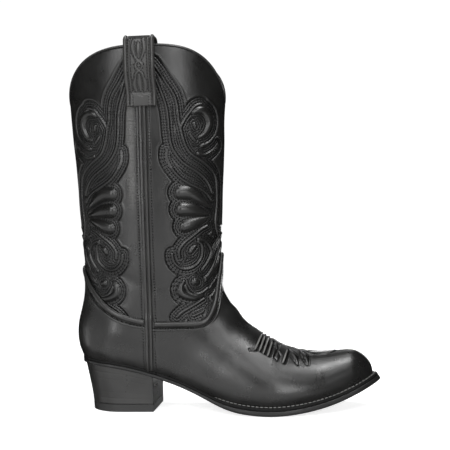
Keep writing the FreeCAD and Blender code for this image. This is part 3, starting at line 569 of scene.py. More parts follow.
def shaft_panel(name, w0, edge, material):
    """A shaft panel with its padded, stitched scrolls, mirrored about both side seams."""
    grid = leaf_grid(
        w0, w0 + 2.0, lambda w: 1.3 / (surface(w, np.zeros_like(w))[:, 2] - ANKLE),
        lambda w: find_v(w, lambda x, z: z - edge(x) + PANEL_UNDERLAP), 273, 333)
    points = grid[0]
    from_seam = distance_from_seams(points)
    outside, puff, along = measure_strokes(from_seam, points[..., 2], ornament_strokes())
    height = 0.25 * bump(outside - ROW_REACH - 1.2, 1.3) - PRESSED * ease((ROW_REACH + 0.5 - outside) / 1.3)
    height += puff + undulation(points) + creases(points, ANKLE_CREASES, 0.7)
    seam_row = np.abs(from_seam - PANEL_SEAM_ROW)
    height -= 0.25 * bump(seam_row, 1.3)
    run = np.where(seam_row < 1.5, points[..., 2], along)
    # creases in the strip behind the seam, and a painted highlight there: the material lightens its colour
    crackle_and_sheen = bump(from_seam - 12.0, 7.0) * ease((points[..., 2] - 175.0) / 40.0) * (outside > ROW_REACH)
    crackle_and_sheen = crackle_and_sheen * (w0 > 2.0)  # only the strip behind the seam gets creases and a painted highlight
    # painted shade: darkens the colour of the quilted ground between the scrolls
    shade = 0.6 * ease(outside / 0.8) * ease((ROW_REACH - outside) / 1.0)
    values = {"contour": outside, "single": seam_row, "run": run, "crackle_and_sheen": crackle_and_sheen, "shade": shade}
    leather_piece(name, grid, height, material, values)


def at_edge(w, edge):
    """v at which the lines at w reach the upper edge of the vamp or counter."""
    return find_v(w, lambda x, z: z - edge(x))


def cover_grid(w0, edge, across, down, bunch, rows):
    """Grid of the vamp or counter, and the distance of its first rows of points from its upper edge."""
    grid = leaf_grid(
        w0, w0 + 2.0, lambda w: at_edge(w, edge), lambda w: find_v(w, seat), across, down, bunch)
    w = np.linspace(w0, w0 + 2.0, 301)
    return grid, distance_to_line(grid[0], surface(w, at_edge(w, edge)), rows)


def distance_to_line(points, line, rows):
    """Distance of the first rows of a grid's points to a line of points, and a large one for the others."""
    away = np.full(points.shape[:2], UNMEASURED)
    near = points[:, :rows].reshape(-1, 1, 3)
    starts, steps = line[:-1], np.diff(line, axis=0)
    lengths = np.maximum((steps ** 2).sum(-1), 1e-9)
    closest = []
    for part in np.array_split(near, 40):  # in parts, to take less memory
        share = np.clip(((part - starts) * steps).sum(-1) / lengths, 0.0, 1.0)
        closest.append(np.linalg.norm(part - starts - steps * share[..., None], axis=-1).min(-1))
    away[:, :rows] = np.concatenate(closest).reshape(points.shape[0], rows)
    return away


def step_down(w, v, distance):
    """Moves a line of places on the master surface square to itself, down over the leather."""
    h = 1e-3
    here = surface(w, v)
    across = (surface(w + h, v) - surface(w - h, v)) / (2.0 * h)
    down = (surface(w, v + h) - surface(w, v - h)) / (2.0 * h)
    along = unit(np.gradient(here, axis=0))
    aim = unit(np.cross(along, outward(w, v)))
    aim = aim * np.sign((aim * down).sum(-1, keepdims=True))
    a, b, c = (across ** 2).sum(-1), (across * down).sum(-1), (down ** 2).sum(-1)
    p, q = (across * aim).sum(-1), (down * aim).sum(-1)
    scale = distance / (a * c - b * b)
    return w + (p * c - q * b) * scale, v + (q * a - p * b) * scale


def seat(x, z):
    """Limit at the lower edge of the leather, just above the feather line."""
    return z - feather_z(x) - 0.5


THROAT_X = -2.0


def down_from_ridge(points, samples=60):
    """Distance over the leather, at one x, from the ridge of the foot to each point."""
    x, z = points[..., 0], points[..., 2]
    flat_x, flat_z = x.ravel(), z.ravel()
    station = np.clip(flat_x, THROAT_X, TOE_TIP_X - 0.05)
    top = ridge_height(station)
    side = np.sign(points[..., 1].ravel())
    share = np.linspace(0.0, 1.0, samples) ** 2
    heights = top[:, None] + (np.minimum(flat_z, top) - top)[:, None] * share
    widths = half_width(station[:, None], heights, np.broadcast_to(side[:, None], heights.shape))
    return np.hypot(np.diff(heights, axis=1), np.diff(widths, axis=1)).sum(1).reshape(x.shape)


def ridge_height(x):
    """Height of the front line over x, from the throat to the toe."""
    line_x, line_z = front_point(FRONT_Q)
    order = np.argsort(line_x)
    start = np.searchsorted(line_x[order], THROAT_X)
    return np.interp(x, line_x[order][start:], line_z[order][start:])


# Forefoot ornament in side view: place along the boot, and height.
VAMP_CORDS = [
    [(33.6, 68.8), (31.8, 63.7), (29.1, 57.6)], [(36.6, 66.8), (35.1, 61.9), (33.1, 56.2)],
    [(40.1, 65), (38.6, 60), (36.7, 54)], [(43.7, 62.1), (42.6, 57.8), (40.9, 51.9)],
    [(58, 54.6), (56.5, 50.5), (54.4, 45.4)],
]
CORD_RADIUS, CORD_LIFT, CORD_SIDES = 0.78, 0.3, 12
CHANNEL_RADIUS, CHANNEL_DEPTH = 0.9, 0.9  # the channel beside each cord
VAMP_RIDGES = [
    [(58.6, 57), (66.2, 54.4), (73.7, 52.2), (81.1, 50.6), (93.4, 50), (104, 52)],
    [(25.5, 57.7), (29.1, 57.4)],
]
VAMP_RIDGE_RADIUS, VAMP_RIDGE_HEIGHT, VAMP_PUFF_STEEPNESS = 0.6, 0.55, 0.3
VAMP_LATTICE = [
    [(45.2, 61), (52.4, 51.6)], [(51.6, 60.2), (46.8, 50.8)], [(46.8, 50.8), (50.2, 47.4)],
    [(52.4, 51.6), (50.8, 47.6)],
]
VAMP_PUFFS = [
    [(60.6, 54, 0.9), (62.8, 52.2, 3.1), (65.6, 49, 2.6), (68.8, 43.6, 0.5)],
    [(70, 52.6, 0.9), (73.4, 50.2, 3.0), (75.8, 47.2, 2.5), (77.9, 43, 0.5)],
]


def vamp_stroke(path, radius=None, height=0.0):
    """A stroke in places along the boot and distances down from its ridge, from a path in side view.

    Without a radius, the path's points hold their own, and its puff is the higher the wider it is.
    """
    line = smooth_path(path)
    level = np.stack([line[:, 0], np.full(len(line), -1.0), line[:, 1]], -1)
    down = down_from_ridge(level[:, None])[:, 0]
    radii = line[:, 2] if radius is None else np.full(len(line), radius)
    heights = line[:, 2] * VAMP_PUFF_STEEPNESS if radius is None else np.full(len(line), height)
    return np.stack([line[:, 0], down, radii, heights], -1)


RIM_WIDTH, RIM_STEPS = 5.4, 14
SEAM_ROW = 5.6  # a row of stitching each side of the side seam


def stitched_cover(points, from_edge):
    """Height and stitching of the vamp or counter, before any ornament.

    A row of stitching beside the padded rim presses the leather down, with a small cord after it. Two more
    rows run down beside the side seam.
    """
    to_rim_row = from_edge - RIM_WIDTH - 0.9
    to_seam_row = np.abs(np.abs(points[..., 0] - SEAM_X) - SEAM_ROW)
    height = LEATHER - 0.45 * bump(to_rim_row, 1.0) + 0.35 * bump(to_rim_row - 1.7, 1.1)
    height += undulation(points) * 0.8 - 0.2 * bump(to_seam_row, 1.0)
    return height, {
        "contour": np.full(height.shape, UNSTITCHED),
        "single": np.minimum(to_seam_row, np.abs(to_rim_row)),
        "run": points[..., 2] + points[..., 0],
    }


def build_vamp(material):
    """The vamp, with channels for its cords, a scratched lattice and two leaves on each side of the ridge."""
    grid, from_edge = cover_grid(1.0, vamp_edge, 349, 265, 1.35, 110)
    points = grid[0]
    down = np.where(points[..., 0] > 18.0, down_from_ridge(points), FURTHEST)
    raised = [vamp_stroke(path, VAMP_RIDGE_RADIUS, VAMP_RIDGE_HEIGHT) for path in VAMP_RIDGES]
    raised += [vamp_stroke(path) for path in VAMP_PUFFS]
    outside, puff, _ = measure_strokes(points[..., 0], down, raised)
    channels = [vamp_stroke([(x + 1.9, z - 0.2) for x, z in path], CHANNEL_RADIUS) for path in VAMP_CORDS]
    channels += [vamp_stroke(path, 0.1) for path in VAMP_LATTICE]
    channel, _, _ = measure_strokes(points[..., 0], down, channels)
    # painted shade: darkens and dulls the channels beside the cords, the lattice and the leaves' outlines; the
    # same mask also presses the channels down
    shade = np.maximum(ease((0.7 - channel) / 0.8), 0.85 * bump(outside - 0.6, 0.8))
    height, values = stitched_cover(points, from_edge)
    height += puff - CHANNEL_DEPTH * shade + creases(points, INSTEP_CREASES, 0.9)
    leather_piece("vamp", grid, height, material, {**values, "shade": shade})


def build_vamp_cords(material):
    """Thin cords sewn down across the front of the vamp, on both sides."""
    vertices, faces = [], []
    around = np.linspace(0.0, 2.0 * math.pi, CORD_SIDES + 1)[:-1]
    for side in (-1.0, 1.0):
        for path in VAMP_CORDS:
            line = smooth_path(path)
            x, z = line[:, 0], line[:, 1]
            centre = side_place(x, z, side, np.full(len(x), LEATHER + CORD_LIFT))
            normal = unit(side_place(x, z, side, np.full(len(x), 2.0 * LEATHER)) - centre)
            across = unit(np.cross(np.gradient(centre, axis=0), normal))
            share = np.linspace(-1.0, 1.0, len(line))
            radius = CORD_RADIUS * np.sqrt(np.maximum(1.0 - np.abs(share) ** 6, 0.05))[:, None, None]
            ring = across[:, None] * np.cos(around)[:, None] + normal[:, None] * np.sin(around)[:, None]
            block, block_faces = capped_tube(centre[:, None] + ring * radius, sum(map(len, vertices)))
            vertices.append(block)
            faces += block_faces
    piece = make_object("vamp_cords", np.concatenate(vertices), faces, material)
    weld(piece)
    stand_in(piece, "vamp_cords")


HEEL_BONE_X, HEEL_BONE_Z, HEEL_BONE_BULGE = -94.0, 74.0, 1.6


def build_counter(material):
    """The heel cover, with the bulge that the heel bone's side gives it."""
    grid, from_edge = cover_grid(3.0, counter_edge, 241, 121, 1.0, 60)
    x, z = grid[0][..., 0], grid[0][..., 2]
    height, values = stitched_cover(grid[0], from_edge)
    bulge = np.exp(-((x - HEEL_BONE_X) / 14.0) ** 2 - ((z - HEEL_BONE_Z) / 10.0) ** 2)
    height += HEEL_BONE_BULGE * bulge
    leather_piece("counter", grid, height, material, values)


def build_rim(name, w0, edge, material):
    """The padded roll along the upper edge of the vamp or counter."""
    w = np.linspace(w0 + 0.035, w0 + 1.965, 321)
    v = at_edge(w, edge)
    outer, inner = [], []
    for k in range(RIM_STEPS + 1):
        roll = math.sin(math.pi * k / RIM_STEPS) ** 0.7 if 0 < k < RIM_STEPS else 0.0
        points, out = surface(w, v), outward(w, v)
        outer.append(points + out * (LEATHER + 0.05 + 1.35 * roll))
        inner.append(points + out * (LEATHER - 0.4))
        w, v = step_down(w, v, RIM_WIDTH / RIM_STEPS)
    vertices, faces = closed_shell(np.stack(outer, 1), np.stack(inner, 1), 1)
    piece = make_object(name, vertices, faces, material)
    stand_in(piece, name)


# ---------------------------------------------------------------- trims of the shaft


def side_place(x, z, side, offset):
    """Points at an offset from one side of the master surface, found from their side view."""
    step = 0.05

    def at(px, pz):
        return np.stack(np.broadcast_arrays(px, side * half_width(px, pz, side), pz), -1)

    along = at(x + step, z) - at(x - step, z)
    up = at(x, z + step) - at(x, z - step)
    normal = unit(np.cross(along, up)) * -side
    return at(x, z) + normal * np.asarray(offset)[..., None]


PIPING_HALF, PIPING_CORD_PLACE, PIPING_CORD_RADIUS = 4.0, 1.75, 1.5


def build_piping(side, name, material):
    """Two cords side by side down the side seam, with a groove between them and a flange at each edge."""
    z = np.linspace(feather_z(SEAM_X) + 0.8, top_z(np.array(SEAM_SHARE)) - 3.6, 320)[:, None]
    across = np.linspace(-PIPING_HALF, PIPING_HALF, 33)[None, :]
    ridges = np.sqrt(np.maximum(1.0 - ((np.abs(across) - PIPING_CORD_PLACE) / PIPING_CORD_RADIUS) ** 2, 0.0))
    profile = 0.25 + PIPING_CORD_RADIUS * ridges + 0.35 * bump(np.abs(across) - 3.1, 1.0)
    profile = profile * ease((PIPING_HALF - np.abs(across)) / 0.5 + 0.2)
    base = LEATHER * ease((SEAM_EDGE_Z + 8.0 - z) / 6.0)
    x = SEAM_X + across
    outer = side_place(x, z, side, base + profile)
    inner = side_place(x, z, side, np.broadcast_to(base - 0.5, outer.shape[:2]))
    if side < 0:
        outer, inner = outer[:, ::-1], inner[:, ::-1]
    vertices, faces = closed_shell(outer[::-1], inner[::-1], 1)
    piece = make_object(name, vertices, faces, material)
    stand_in(piece, name)


BINDING_INSET, BINDING_REACH, BINDING_RISE, BINDING_DROP, BINDING_SIDES = 1.9, 2.35, 1.45, 2.3, 20


def build_binding(name, w0, material):
    """A narrow strip folded over the top edges of panel and lining."""
    w = np.linspace(w0, w0 + 2.0, 321)
    top = np.zeros_like(w)
    out = outward(w, top)
    centre = surface(w, top) - out * BINDING_INSET
    up = unit(np.cross(unit(np.gradient(centre, axis=0)), out))
    up = up * np.sign(up[:, 2:])
    rings = []
    for k in range(BINDING_SIDES):
        turn = 2.0 * math.pi * k / BINDING_SIDES
        reach = math.cos(turn) * BINDING_REACH
        rise = math.sin(turn) * (BINDING_RISE if reach > 0.0 or math.sin(turn) > 0.0 else BINDING_DROP)
        rings.append(centre + out * reach + up * rise)
    piece = make_object(name, *capped_tube(np.stack(rings, 1)), material)
    stand_in(piece, name)


STRAP_WIDTH, STRAP_DEPTH = 28.5, 2.3
STRAP_FOOT, STRAP_SEWN, STRAP_TOP, STRAP_LINING_FOOT = 284.5, 296.0, 347.8, 292.0
STRAP_BEND, STRAP_BOW, STRAP_INNER_BOW = 3.2, 7.0, 3.0
STRAP_STAND_OFF = 1.78  # the strap lies on the piping
WALL = 4.25  # panel, foam and lining
STRAP_ROW = 10.3  # a row of stitching inside each rolled edge


def strap_path(side):
    """Middle line of a pull strap from its outer end over the top, and the distance gone along it.

    Each point is (distance from the boot's middle, height).
    """
    half = STRAP_DEPTH / 2.0
    top = STRAP_TOP - half
    bend = STRAP_BEND + half

    def wall(z):
        return half_width(SEAM_X, np.minimum(z, DIP + SIDE_RISE), side)

    z = np.linspace(STRAP_FOOT, top - bend, 60)
    bow = STRAP_BOW * np.sin(math.pi * ease((z - STRAP_SEWN) / 30.0) / 2.0)
    outer = np.stack([wall(z) + STRAP_STAND_OFF + half + bow, z], -1)
    z = np.linspace(top - bend, STRAP_LINING_FOOT, 44)
    bow = STRAP_INNER_BOW * ease((z - STRAP_SEWN - 4.0) / 14.0)
    inner = np.stack([wall(z) - WALL - half - 0.3 - bow, z], -1)
    turn = np.radians(np.linspace(6.0, 90.0, 14))
    back, rise = bend * (1.0 - np.cos(turn)), top - bend + bend * np.sin(turn)
    first = np.stack([outer[-1, 0] - back, rise], -1)
    second = np.stack([inner[0, 0] + back, rise], -1)[::-1]
    path = np.concatenate([outer, first, second, inner])
    gone = np.concatenate([[0.0], np.cumsum(np.hypot(*np.diff(path, axis=0).T))])
    at = np.linspace(0.0, gone[-1], 230)
    return np.stack([np.interp(at, gone, path[:, 0]), np.interp(at, gone, path[:, 1])], -1), at


# Half of the pull strap's flat pattern: distance from its middle line, from its outer end, and radius.
STRAP_RIDGES = [
    [(-3.4, 45), (-1.6, 42), (3.2, 37.5), (1.6, 33.6), (-3.2, 29), (-3.6, 27)],
    [(-8.8, 14), (-8.8, 34), (-8.4, 60)],
]
STRAP_PUFFS = [
    [(0, 44, 0.6), (0, 50, 2.0), (0, 57, 0.6)], [(-3.6, 46, 0.6), (-5.4, 52, 1.5), (-4.2, 60, 0.6)],
    [(0, 28, 0.6), (0, 22, 1.9), (0, 14.5, 0.6)], [(-3.6, 26, 0.6), (-5.2, 20, 1.4), (-3.8, 13.5, 0.6)],
]


def with_mirrors(paths):
    """Each path, followed by its mirror image if it isn't on the middle line."""
    for path in paths:
        yield path
        if path[0][0]:
            yield [(-place[0], *place[1:]) for place in path]


def strap_relief(across, gone):
    """Height of the strap's face, and its stitching, at places on its flat pattern."""
    strokes = []
    for path in with_mirrors(STRAP_RIDGES):
        line = smooth_path(path)
        strokes.append(np.concatenate([line, np.tile([0.6, 0.5], (len(line), 1))], axis=1))
    for path in with_mirrors(STRAP_PUFFS):
        line = smooth_path(path)
        strokes.append(np.concatenate([line, line[:, 2:] * 0.45], axis=1))
    outside, puff, along = measure_strokes(across, gone, strokes)
    rolled = 0.75 * bump(np.abs(across) - 12.3, 2.0)
    groove = 0.3 * bump(np.abs(across) - STRAP_ROW, 0.8)
    patch = ease((8.2 - np.abs(across)) / 0.5) * ease((10.8 - gone) / 0.5) * ease((gone - 0.6) / 0.5)
    notch = 1.0 - ease((2.2 - np.abs(across)) / 0.6) * ease((gone - 8.6) / 0.6)
    patch_row = np.abs(np.abs(across) - 7.4) + UNSTITCHED * (gone > 10.0)
    sewn = np.minimum(np.abs(np.abs(across) - STRAP_ROW), patch_row)
    return rolled - groove + puff + 0.5 * patch * notch, outside, sewn, along


def build_pull_strap(side, name, material):
    """A stitched band that loops over the top line, swept along its path."""
    path, gone = strap_path(side)
    along = unit(np.gradient(path, axis=0))
    normal = np.stack([along[:, 1], -along[:, 0]], -1)
    u, s = np.meshgrid(np.linspace(-STRAP_WIDTH / 2.0, STRAP_WIDTH / 2.0, 77), gone)
    relief, outside, sewn, run = strap_relief(u, s)
    edge = np.maximum(np.abs(u) - 12.9, 0.0) / 1.35
    rounding = np.maximum(np.sqrt(np.maximum(1.0 - edge ** 2, 0.0)), 0.05)

    def place(distance):
        y, z = (path[:, axis][:, None] + normal[:, axis][:, None] * distance for axis in (0, 1))
        return np.stack([SEAM_X + u, side * y, z], -1)

    half = STRAP_DEPTH / 2.0
    grids = [place((half + relief) * rounding), place(-half * rounding)]
    values = {
        "contour": np.where(outside < 1.3, outside, UNSTITCHED), "single": sewn,
        "run": np.where(sewn < 1.0, s, run),
    }
    if side > 0:
        grids = [grid[:, ::-1] for grid in grids]
        values = {key: numbers[:, ::-1] for key, numbers in values.items()}
    vertices, faces = closed_shell(*grids, 1)
    for key, numbers in values.items():
        values[key] = np.concatenate([numbers.ravel(), np.full(numbers.size, UNSTITCHED)])
    piece = make_object(name, vertices, faces, material, values)
    stand_in(piece, name)


# ---------------------------------------------------------------- bottom

BREAST_X, LIFT_BACK_X, LIFT_HALF_WIDTH, LIFT_DEPTH = -67.2, -130.6, 26.6, 7.0
SEAT_BACK_X, SEAT_HALF_WIDTH = HEEL_BACK_X - 1.4, 30.4
WELT, WAIST_WELT, OUTSOLE, WAIST_OUTSOLE = 3.2, 2.9, 4.6, 2.9  # depths
HEEL_OUTSET, RAND_OUTSET, INNER_EDGE = 1.2, 1.7, -6.0  # from the feather line
GAP = 0.06  # glue line


def outline(w, outset, deep=0.0):
    """Plan of the feather line moved outward, and forward at the toe for a deeper layer."""
    here, before, after = (surface(w + step, np.full_like(w, 2.0)) for step in (0.0, -0.01, 0.01))
    along = after[:, :2] - before[:, :2]
    along = along / np.linalg.norm(along, axis=1, keepdims=True)
    x = here[:, 0]
    slope = (feather_z(x + 0.5) - feather_z(x - 0.5)) * ease((x - 40.0) / 60.0)
    return np.stack([x + outset * along[:, 1] + deep * slope, here[:, 1] - outset * along[:, 0]], -1)


def forepart_outset(x):
    """How far welt and outsole stand out: close at the heel and waist, wide in front."""
    return mix(1.6, mix(2.6, 5.0, ease((x + 20.0) / 40.0)), ease((x + 78.0) / 20.0))


def forepart_share(x):
    return ease((x + 26.0) / 44.0)


def welt_low(x):
    return -mix(WAIST_WELT, WELT, forepart_share(x))


def sole_low(x):
    return welt_low(x) - GAP - mix(WAIST_OUTSOLE, OUTSOLE, forepart_share(x))


def at_height(plan, rise):
    """Points over the feather line: rise is a height above it."""
    return np.stack([plan[:, 0], plan[:, 1], feather_z(plan[:, 0]) + rise], -1)


def edge_ring(w, outset, rise):
    """One line round the bottom, standing outset from the feather line and rise above it."""
    return at_height(outline(w, outset, -rise), rise)


def build_welt_strip(name, w0, w1, reach, material):
    """A strip of welt or rand with rounded outer corners. reach gives its outset for each x."""
    w = np.linspace(w0, w1, 361)
    x = surface(w, np.full_like(w, 2.0))[:, 0]
    out, low = reach(x), welt_low(x)
    profile = [
        (INNER_EDGE, -GAP), (-1.0, -GAP), (out * 0.5, -GAP), (out - 0.55, -GAP), (out - 0.2, -0.18),
        (out, -0.55), (out + 0.03, low * 0.5), (out, low + 0.45), (out - 0.15, low + 0.15),
        (out - 0.5, low + 0.03), (INNER_EDGE, low + 0.03),
    ]
    rings = np.stack([edge_ring(w, outset, rise) for outset, rise in profile], 1)
    piece = make_object(name, *capped_tube(rings), material)
    stand_in(piece, name)


def weld(piece, distance=2e-6):
    """Merges the vertices that lie on one another."""
    mesh = bmesh.new()
    mesh.from_mesh(piece.data)
    bmesh.ops.remove_doubles(mesh, verts=mesh.verts, dist=distance)
    bmesh.ops.recalc_face_normals(mesh, faces=mesh.faces)
    mesh.to_mesh(piece.data)
    mesh.free()


def build_outsole(material):
    """The full-length sole: rings from a line down its middle, over its edge and back underneath."""
    w = np.arange(480) / 120.0
    x = surface(w, np.full_like(w, 2.0))[:, 0]
    out, low = forepart_outset(x), sole_low(x)
    high = welt_low(x) - GAP
    spine_x = np.clip(x, HEEL_BACK_X + 28.0, TOE_TIP_X - 18.0)
    spine_y = (HALF_WIDTHS["medial"](spine_x) - HALF_WIDTHS["lateral"](spine_x)) / 2.0
    spine = np.stack([spine_x, spine_y], -1)

    def inner_ring(share, rise):
        return at_height(mix(spine, outline(w, INNER_EDGE, -rise), share), rise)

    channel = 0.3 * (x > -20.0)  # the groove of the stitching, underneath
    rings = [inner_ring(share, high) for share in (0.0, 0.5, 1.0)]
    rings += [edge_ring(w, outset, rise) for outset, rise in (
        (out - 0.4, high), (out - 0.1, high - 0.12), (out, high - 0.4), (out + 0.02, mix(high, low, 0.5)),
        (out, low + 0.7), (out - 0.2, low + 0.3), (out - 0.7, low + 0.04), (out - 2.6, low),
        (out - 3.0, low + channel), (out - 3.4, low),
    )]
    rings += [inner_ring(share, low) for share in (1.0, 0.8, 0.6, 0.4, 0.2, 0.0)]
    grid = np.stack(rings, 0)
    piece = make_object("outsole", grid.reshape(-1, 3), grid_faces(len(rings), len(w), wrap=True), material)
    weld(piece)
    stand_in(piece, "outsole")


heel_share = Curve([(0, -0.04), (7.06, 0.0), (28, 0.38), (62, 1.2)])  # 0 is the lift's outline, 1 the seat's


def turn_at(x, outset):
    """w at which the lateral outline reaches x on its way from the heel."""
    return float(halve(lambda w: outline(np.array([w]), outset)[0, 0] < x, 0.2, 1.6))


def heel_plan():
    """Plan of the D-shaped heel at its seat: round the back, and along the breast."""
    span = turn_at(BREAST_X, HEEL_OUTSET)
    arc = outline(np.linspace(-span, span, 101), HEEL_OUTSET)
    arc[0, 0] = arc[-1, 0] = BREAST_X
    across = np.linspace(arc[-1, 1], arc[0, 1], 25)[1:-1]
    return np.concatenate([arc, np.stack([np.full(len(across), BREAST_X), across], -1)]).T


HEEL_HALF_LENGTH, HEEL_HALF_WIDTH = 32.0, 26.0  # what an inset is a share of


def heel_ring(plan, z, inset):
    """Points round the heel at heights z, where it is inset from its tapered outline."""
    share = heel_share(z)
    x = BREAST_X + (plan[0] - BREAST_X) * mix((BREAST_X - LIFT_BACK_X) / (BREAST_X - SEAT_BACK_X), 1.0, share)
    y = plan[1] * mix(LIFT_HALF_WIDTH / SEAT_HALF_WIDTH, 1.0, share)
    middle = (BREAST_X + LIFT_BACK_X) / 2.0
    shrink_x, shrink_y = 1.0 - inset / HEEL_HALF_LENGTH, 1.0 - inset / HEEL_HALF_WIDTH
    return np.stack([middle + (x - middle) * shrink_x, y * shrink_y, z], -1)


LIFTS, HEEL_LEVELS = 6.0, 61


def build_heel_block(material):
    """Six glued lifts, blacked over, so that only faint lines show between them."""
    levels = [(0.0, 0.5), (0.004, 0.2), (0.014, 0.04)]
    for k in range(1, HEEL_LEVELS):
        share = k / HEEL_LEVELS
        lift = share * LIFTS
        levels.append((share, 0.14 * float(bump(lift - round(lift), 0.06))))
    levels += [(0.99, 0.05), (1.0, 0.3)]
    plan = heel_plan()
    top = feather_z(plan[0]) + sole_low(plan[0]) - GAP
    rings = [heel_ring(plan, mix(LIFT_DEPTH + GAP, top, share), inset) for share, inset in levels]
    count = rings[0].shape[0]
    grid = np.concatenate(rings)
    faces = grid_faces(len(rings), count, flip=True, wrap=True)
    centres = [rings[0].mean(0), rings[-1].mean(0)]
    total = len(grid)
    faces += [(k, (k + 1) % count, total) for k in range(count)]
    last = total - count
    faces += [(last + (k + 1) % count, last + k, total + 1) for k in range(count)]
    piece = make_object("heel_block", np.concatenate([grid, centres]), faces, material)
    weld(piece)
    add_bevel(piece)
    stand_in(piece, "heel_block")


def add_bevel(piece):
    """Takes a quarter of a millimetre off the sharp edges."""
    bevel = piece.modifiers.new("soft_edges", "BEVEL")
    bevel.width = 0.00025
    bevel.segments = 2
    bevel.limit_method = "ANGLE"
    bevel.angle_limit = math.radians(50.0)


# ---------------------------------------------------------------- materials


class Shader:
    """Small helper that adds and links nodes of one material."""

    def __init__(self, name):
        self.material = bpy.data.materials.new(name)
        self.material.use_nodes = True
        self.tree = self.material.node_tree
        self.surface = self.tree.nodes["Principled BSDF"]

    def node(self, kind, inputs=None, **settings):
        added = self.tree.nodes.new(kind)
        for key, value in settings.items():
            setattr(added, key, value)
        for key, value in (inputs or {}).items():
            self.put(added.inputs[key], value)
        return added

    def put(self, socket, value):
        if isinstance(value, bpy.types.NodeSocket):
            self.tree.links.new(value, socket)
        else:
            socket.default_value = value

    def finish(self, **inputs):
        """Sets inputs of the surface shader, with _ for each space of their names, and gives the material."""
        for key, value in inputs.items():
            self.put(self.surface.inputs[key.replace("_", " ")], value)
        return self.material

    def math(self, operation, a, b):
        added = self.node("ShaderNodeMath", operation=operation)
        for socket, value in zip(added.inputs, (a, b)):
            self.put(socket, value)
        return added.outputs[0]

    def noise(self, scale, detail=4.0, roughness=0.55, stretch=(1.0, 1.0, 1.0)):
        place = self.node("ShaderNodeTexCoord").outputs["Object"]
        mapped = self.node("ShaderNodeMapping", {"Vector": place, "Scale": stretch}).outputs[0]
        return self.node("ShaderNodeTexNoise", {
            "Vector": mapped, "Scale": scale, "Detail": detail, "Roughness": roughness}).outputs["Fac"]

    def cells(self, scale):
        place = self.node("ShaderNodeTexCoord").outputs["Object"]
        return self.node("ShaderNodeTexVoronoi", {
            "Vector": place, "Scale": scale, "Smoothness": 0.6}, feature="SMOOTH_F1").outputs["Distance"]

    def ramp(self, value, low, high, out_low=0.0, out_high=1.0):
        return self.node("ShaderNodeMapRange", {
            "Value": value, "From Min": low, "From Max": high, "To Min": out_low, "To Max": out_high},
            interpolation_type="SMOOTHSTEP").outputs["Result"]

    def blend(self, share, a, b):
        added = self.node("ShaderNodeMix", data_type="RGBA")
        self.put(added.inputs["Factor"], share)
        self.put(added.inputs["A"], a)
        self.put(added.inputs["B"], b)
        return added.outputs["Result"]

    def bump(self, height, distance, strength=1.0, before=None):
        inputs = {"Height": height, "Distance": distance, "Strength": strength}
        if before is not None:
            inputs["Normal"] = before
        return self.node("ShaderNodeBump", inputs).outputs["Normal"]


def colour(value, tint=(1.0, 1.0, 1.0)):
    return (*(value * part for part in tint), 1.0)


def attribute(shader, name):
    return shader.node("ShaderNodeAttribute", attribute_name=name).outputs["Fac"]


FIRST_ROW, HALF_ROW_PITCH, HALF_STITCH = 0.7, 1.1, 1.3  # in millimetres, as the mesh holds them


def stitch_masks(shader):
    """Grooves and needle holes of the stitching, from the distances that the mesh holds in millimetres."""
    contour, single, run = (attribute(shader, name) for name in ("contour", "single", "run"))
    inside = shader.math("MULTIPLY", shader.ramp(contour, 0.0, 0.2), shader.ramp(contour, 6.6, 6.2))
    to_row = shader.math("PINGPONG", shader.math("SUBTRACT", contour, FIRST_ROW), HALF_ROW_PITCH)
    to_hole = shader.math("PINGPONG", run, HALF_STITCH)
    near_row = shader.math("MAXIMUM", shader.math("MULTIPLY", shader.ramp(to_row, 0.95, 0.0), inside),
                           shader.ramp(single, 0.95, 0.0))
    hole = shader.math("MULTIPLY", shader.ramp(to_hole, 0.85, 0.15), near_row)
    groove = shader.math("MAXIMUM", shader.math("MULTIPLY", near_row, 0.4), hole)
    return groove, hole, inside


def leather_material(name, base=0.007, roughness=0.29, stitched=False, tint=(1.0, 0.99, 0.96)):
    """Dyed leather with pores, grain and slow colour change, and stitching, painted shade and a painted
    highlight where the mesh marks them.
    """
    shader = Shader(name)
    cloud = shader.noise(26.0, 3.0)
    pores = shader.cells(1500.0)
    fine = shader.noise(900.0, 5.0, 0.6)
    wrinkle = shader.noise(150.0, 3.0, 0.5, (1.0, 1.0, 0.55))
    skin = shader.blend(shader.ramp(cloud, 0.35, 0.7), colour(base * 0.78, tint), colour(base * 1.3, tint))
    rough = shader.ramp(shader.noise(60.0, 4.0), 0.3, 0.7, roughness - 0.03, roughness + 0.05)
    normal = shader.bump(wrinkle, 0.0003, 0.4)
    normal = shader.bump(pores, 0.00006, 0.5, normal)
    normal = shader.bump(fine, 0.00009, 0.5, normal)
    if stitched:
        groove, hole, inside = stitch_masks(shader)
        wear_and_sheen = attribute(shader, "crackle_and_sheen")
        folds = shader.math("MULTIPLY", shader.noise(300.0, 5.0, 0.65, (0.3, 0.3, 1.5)), wear_and_sheen)
        normal = shader.bump(folds, 0.0011, 1.0, normal)
        # painted highlight: lighter colour on the creased strip behind the seam
        skin = shader.blend(shader.math("MULTIPLY", wear_and_sheen, 0.6), skin, colour(0.07, tint))
        normal = shader.bump(shader.math("SUBTRACT", 1.0, groove), 0.0006, 1.0, normal)
        # painted shade: stitch grooves, needle holes and the shade attribute darken the colour
        painted_shade = shader.math("MAXIMUM", shader.math("MULTIPLY", groove, 0.9), attribute(shader, "shade"))
        skin = shader.blend(painted_shade, skin, colour(base * 0.2, tint))
        # painted shade: the holes and the darkest shaded channels lose most of their reflection
        shade_matt = shader.math("MAXIMUM", hole, shader.ramp(attribute(shader, "shade"), 0.65, 0.95))
        shader.finish(Specular_IOR_Level=shader.ramp(shade_matt, 0.0, 1.0, 0.5, 0.08))
        rough = shader.math("ADD", rough, shader.math("MULTIPLY", inside, 0.06))
    return shader.finish(Base_Color=skin, Roughness=rough, Normal=normal)


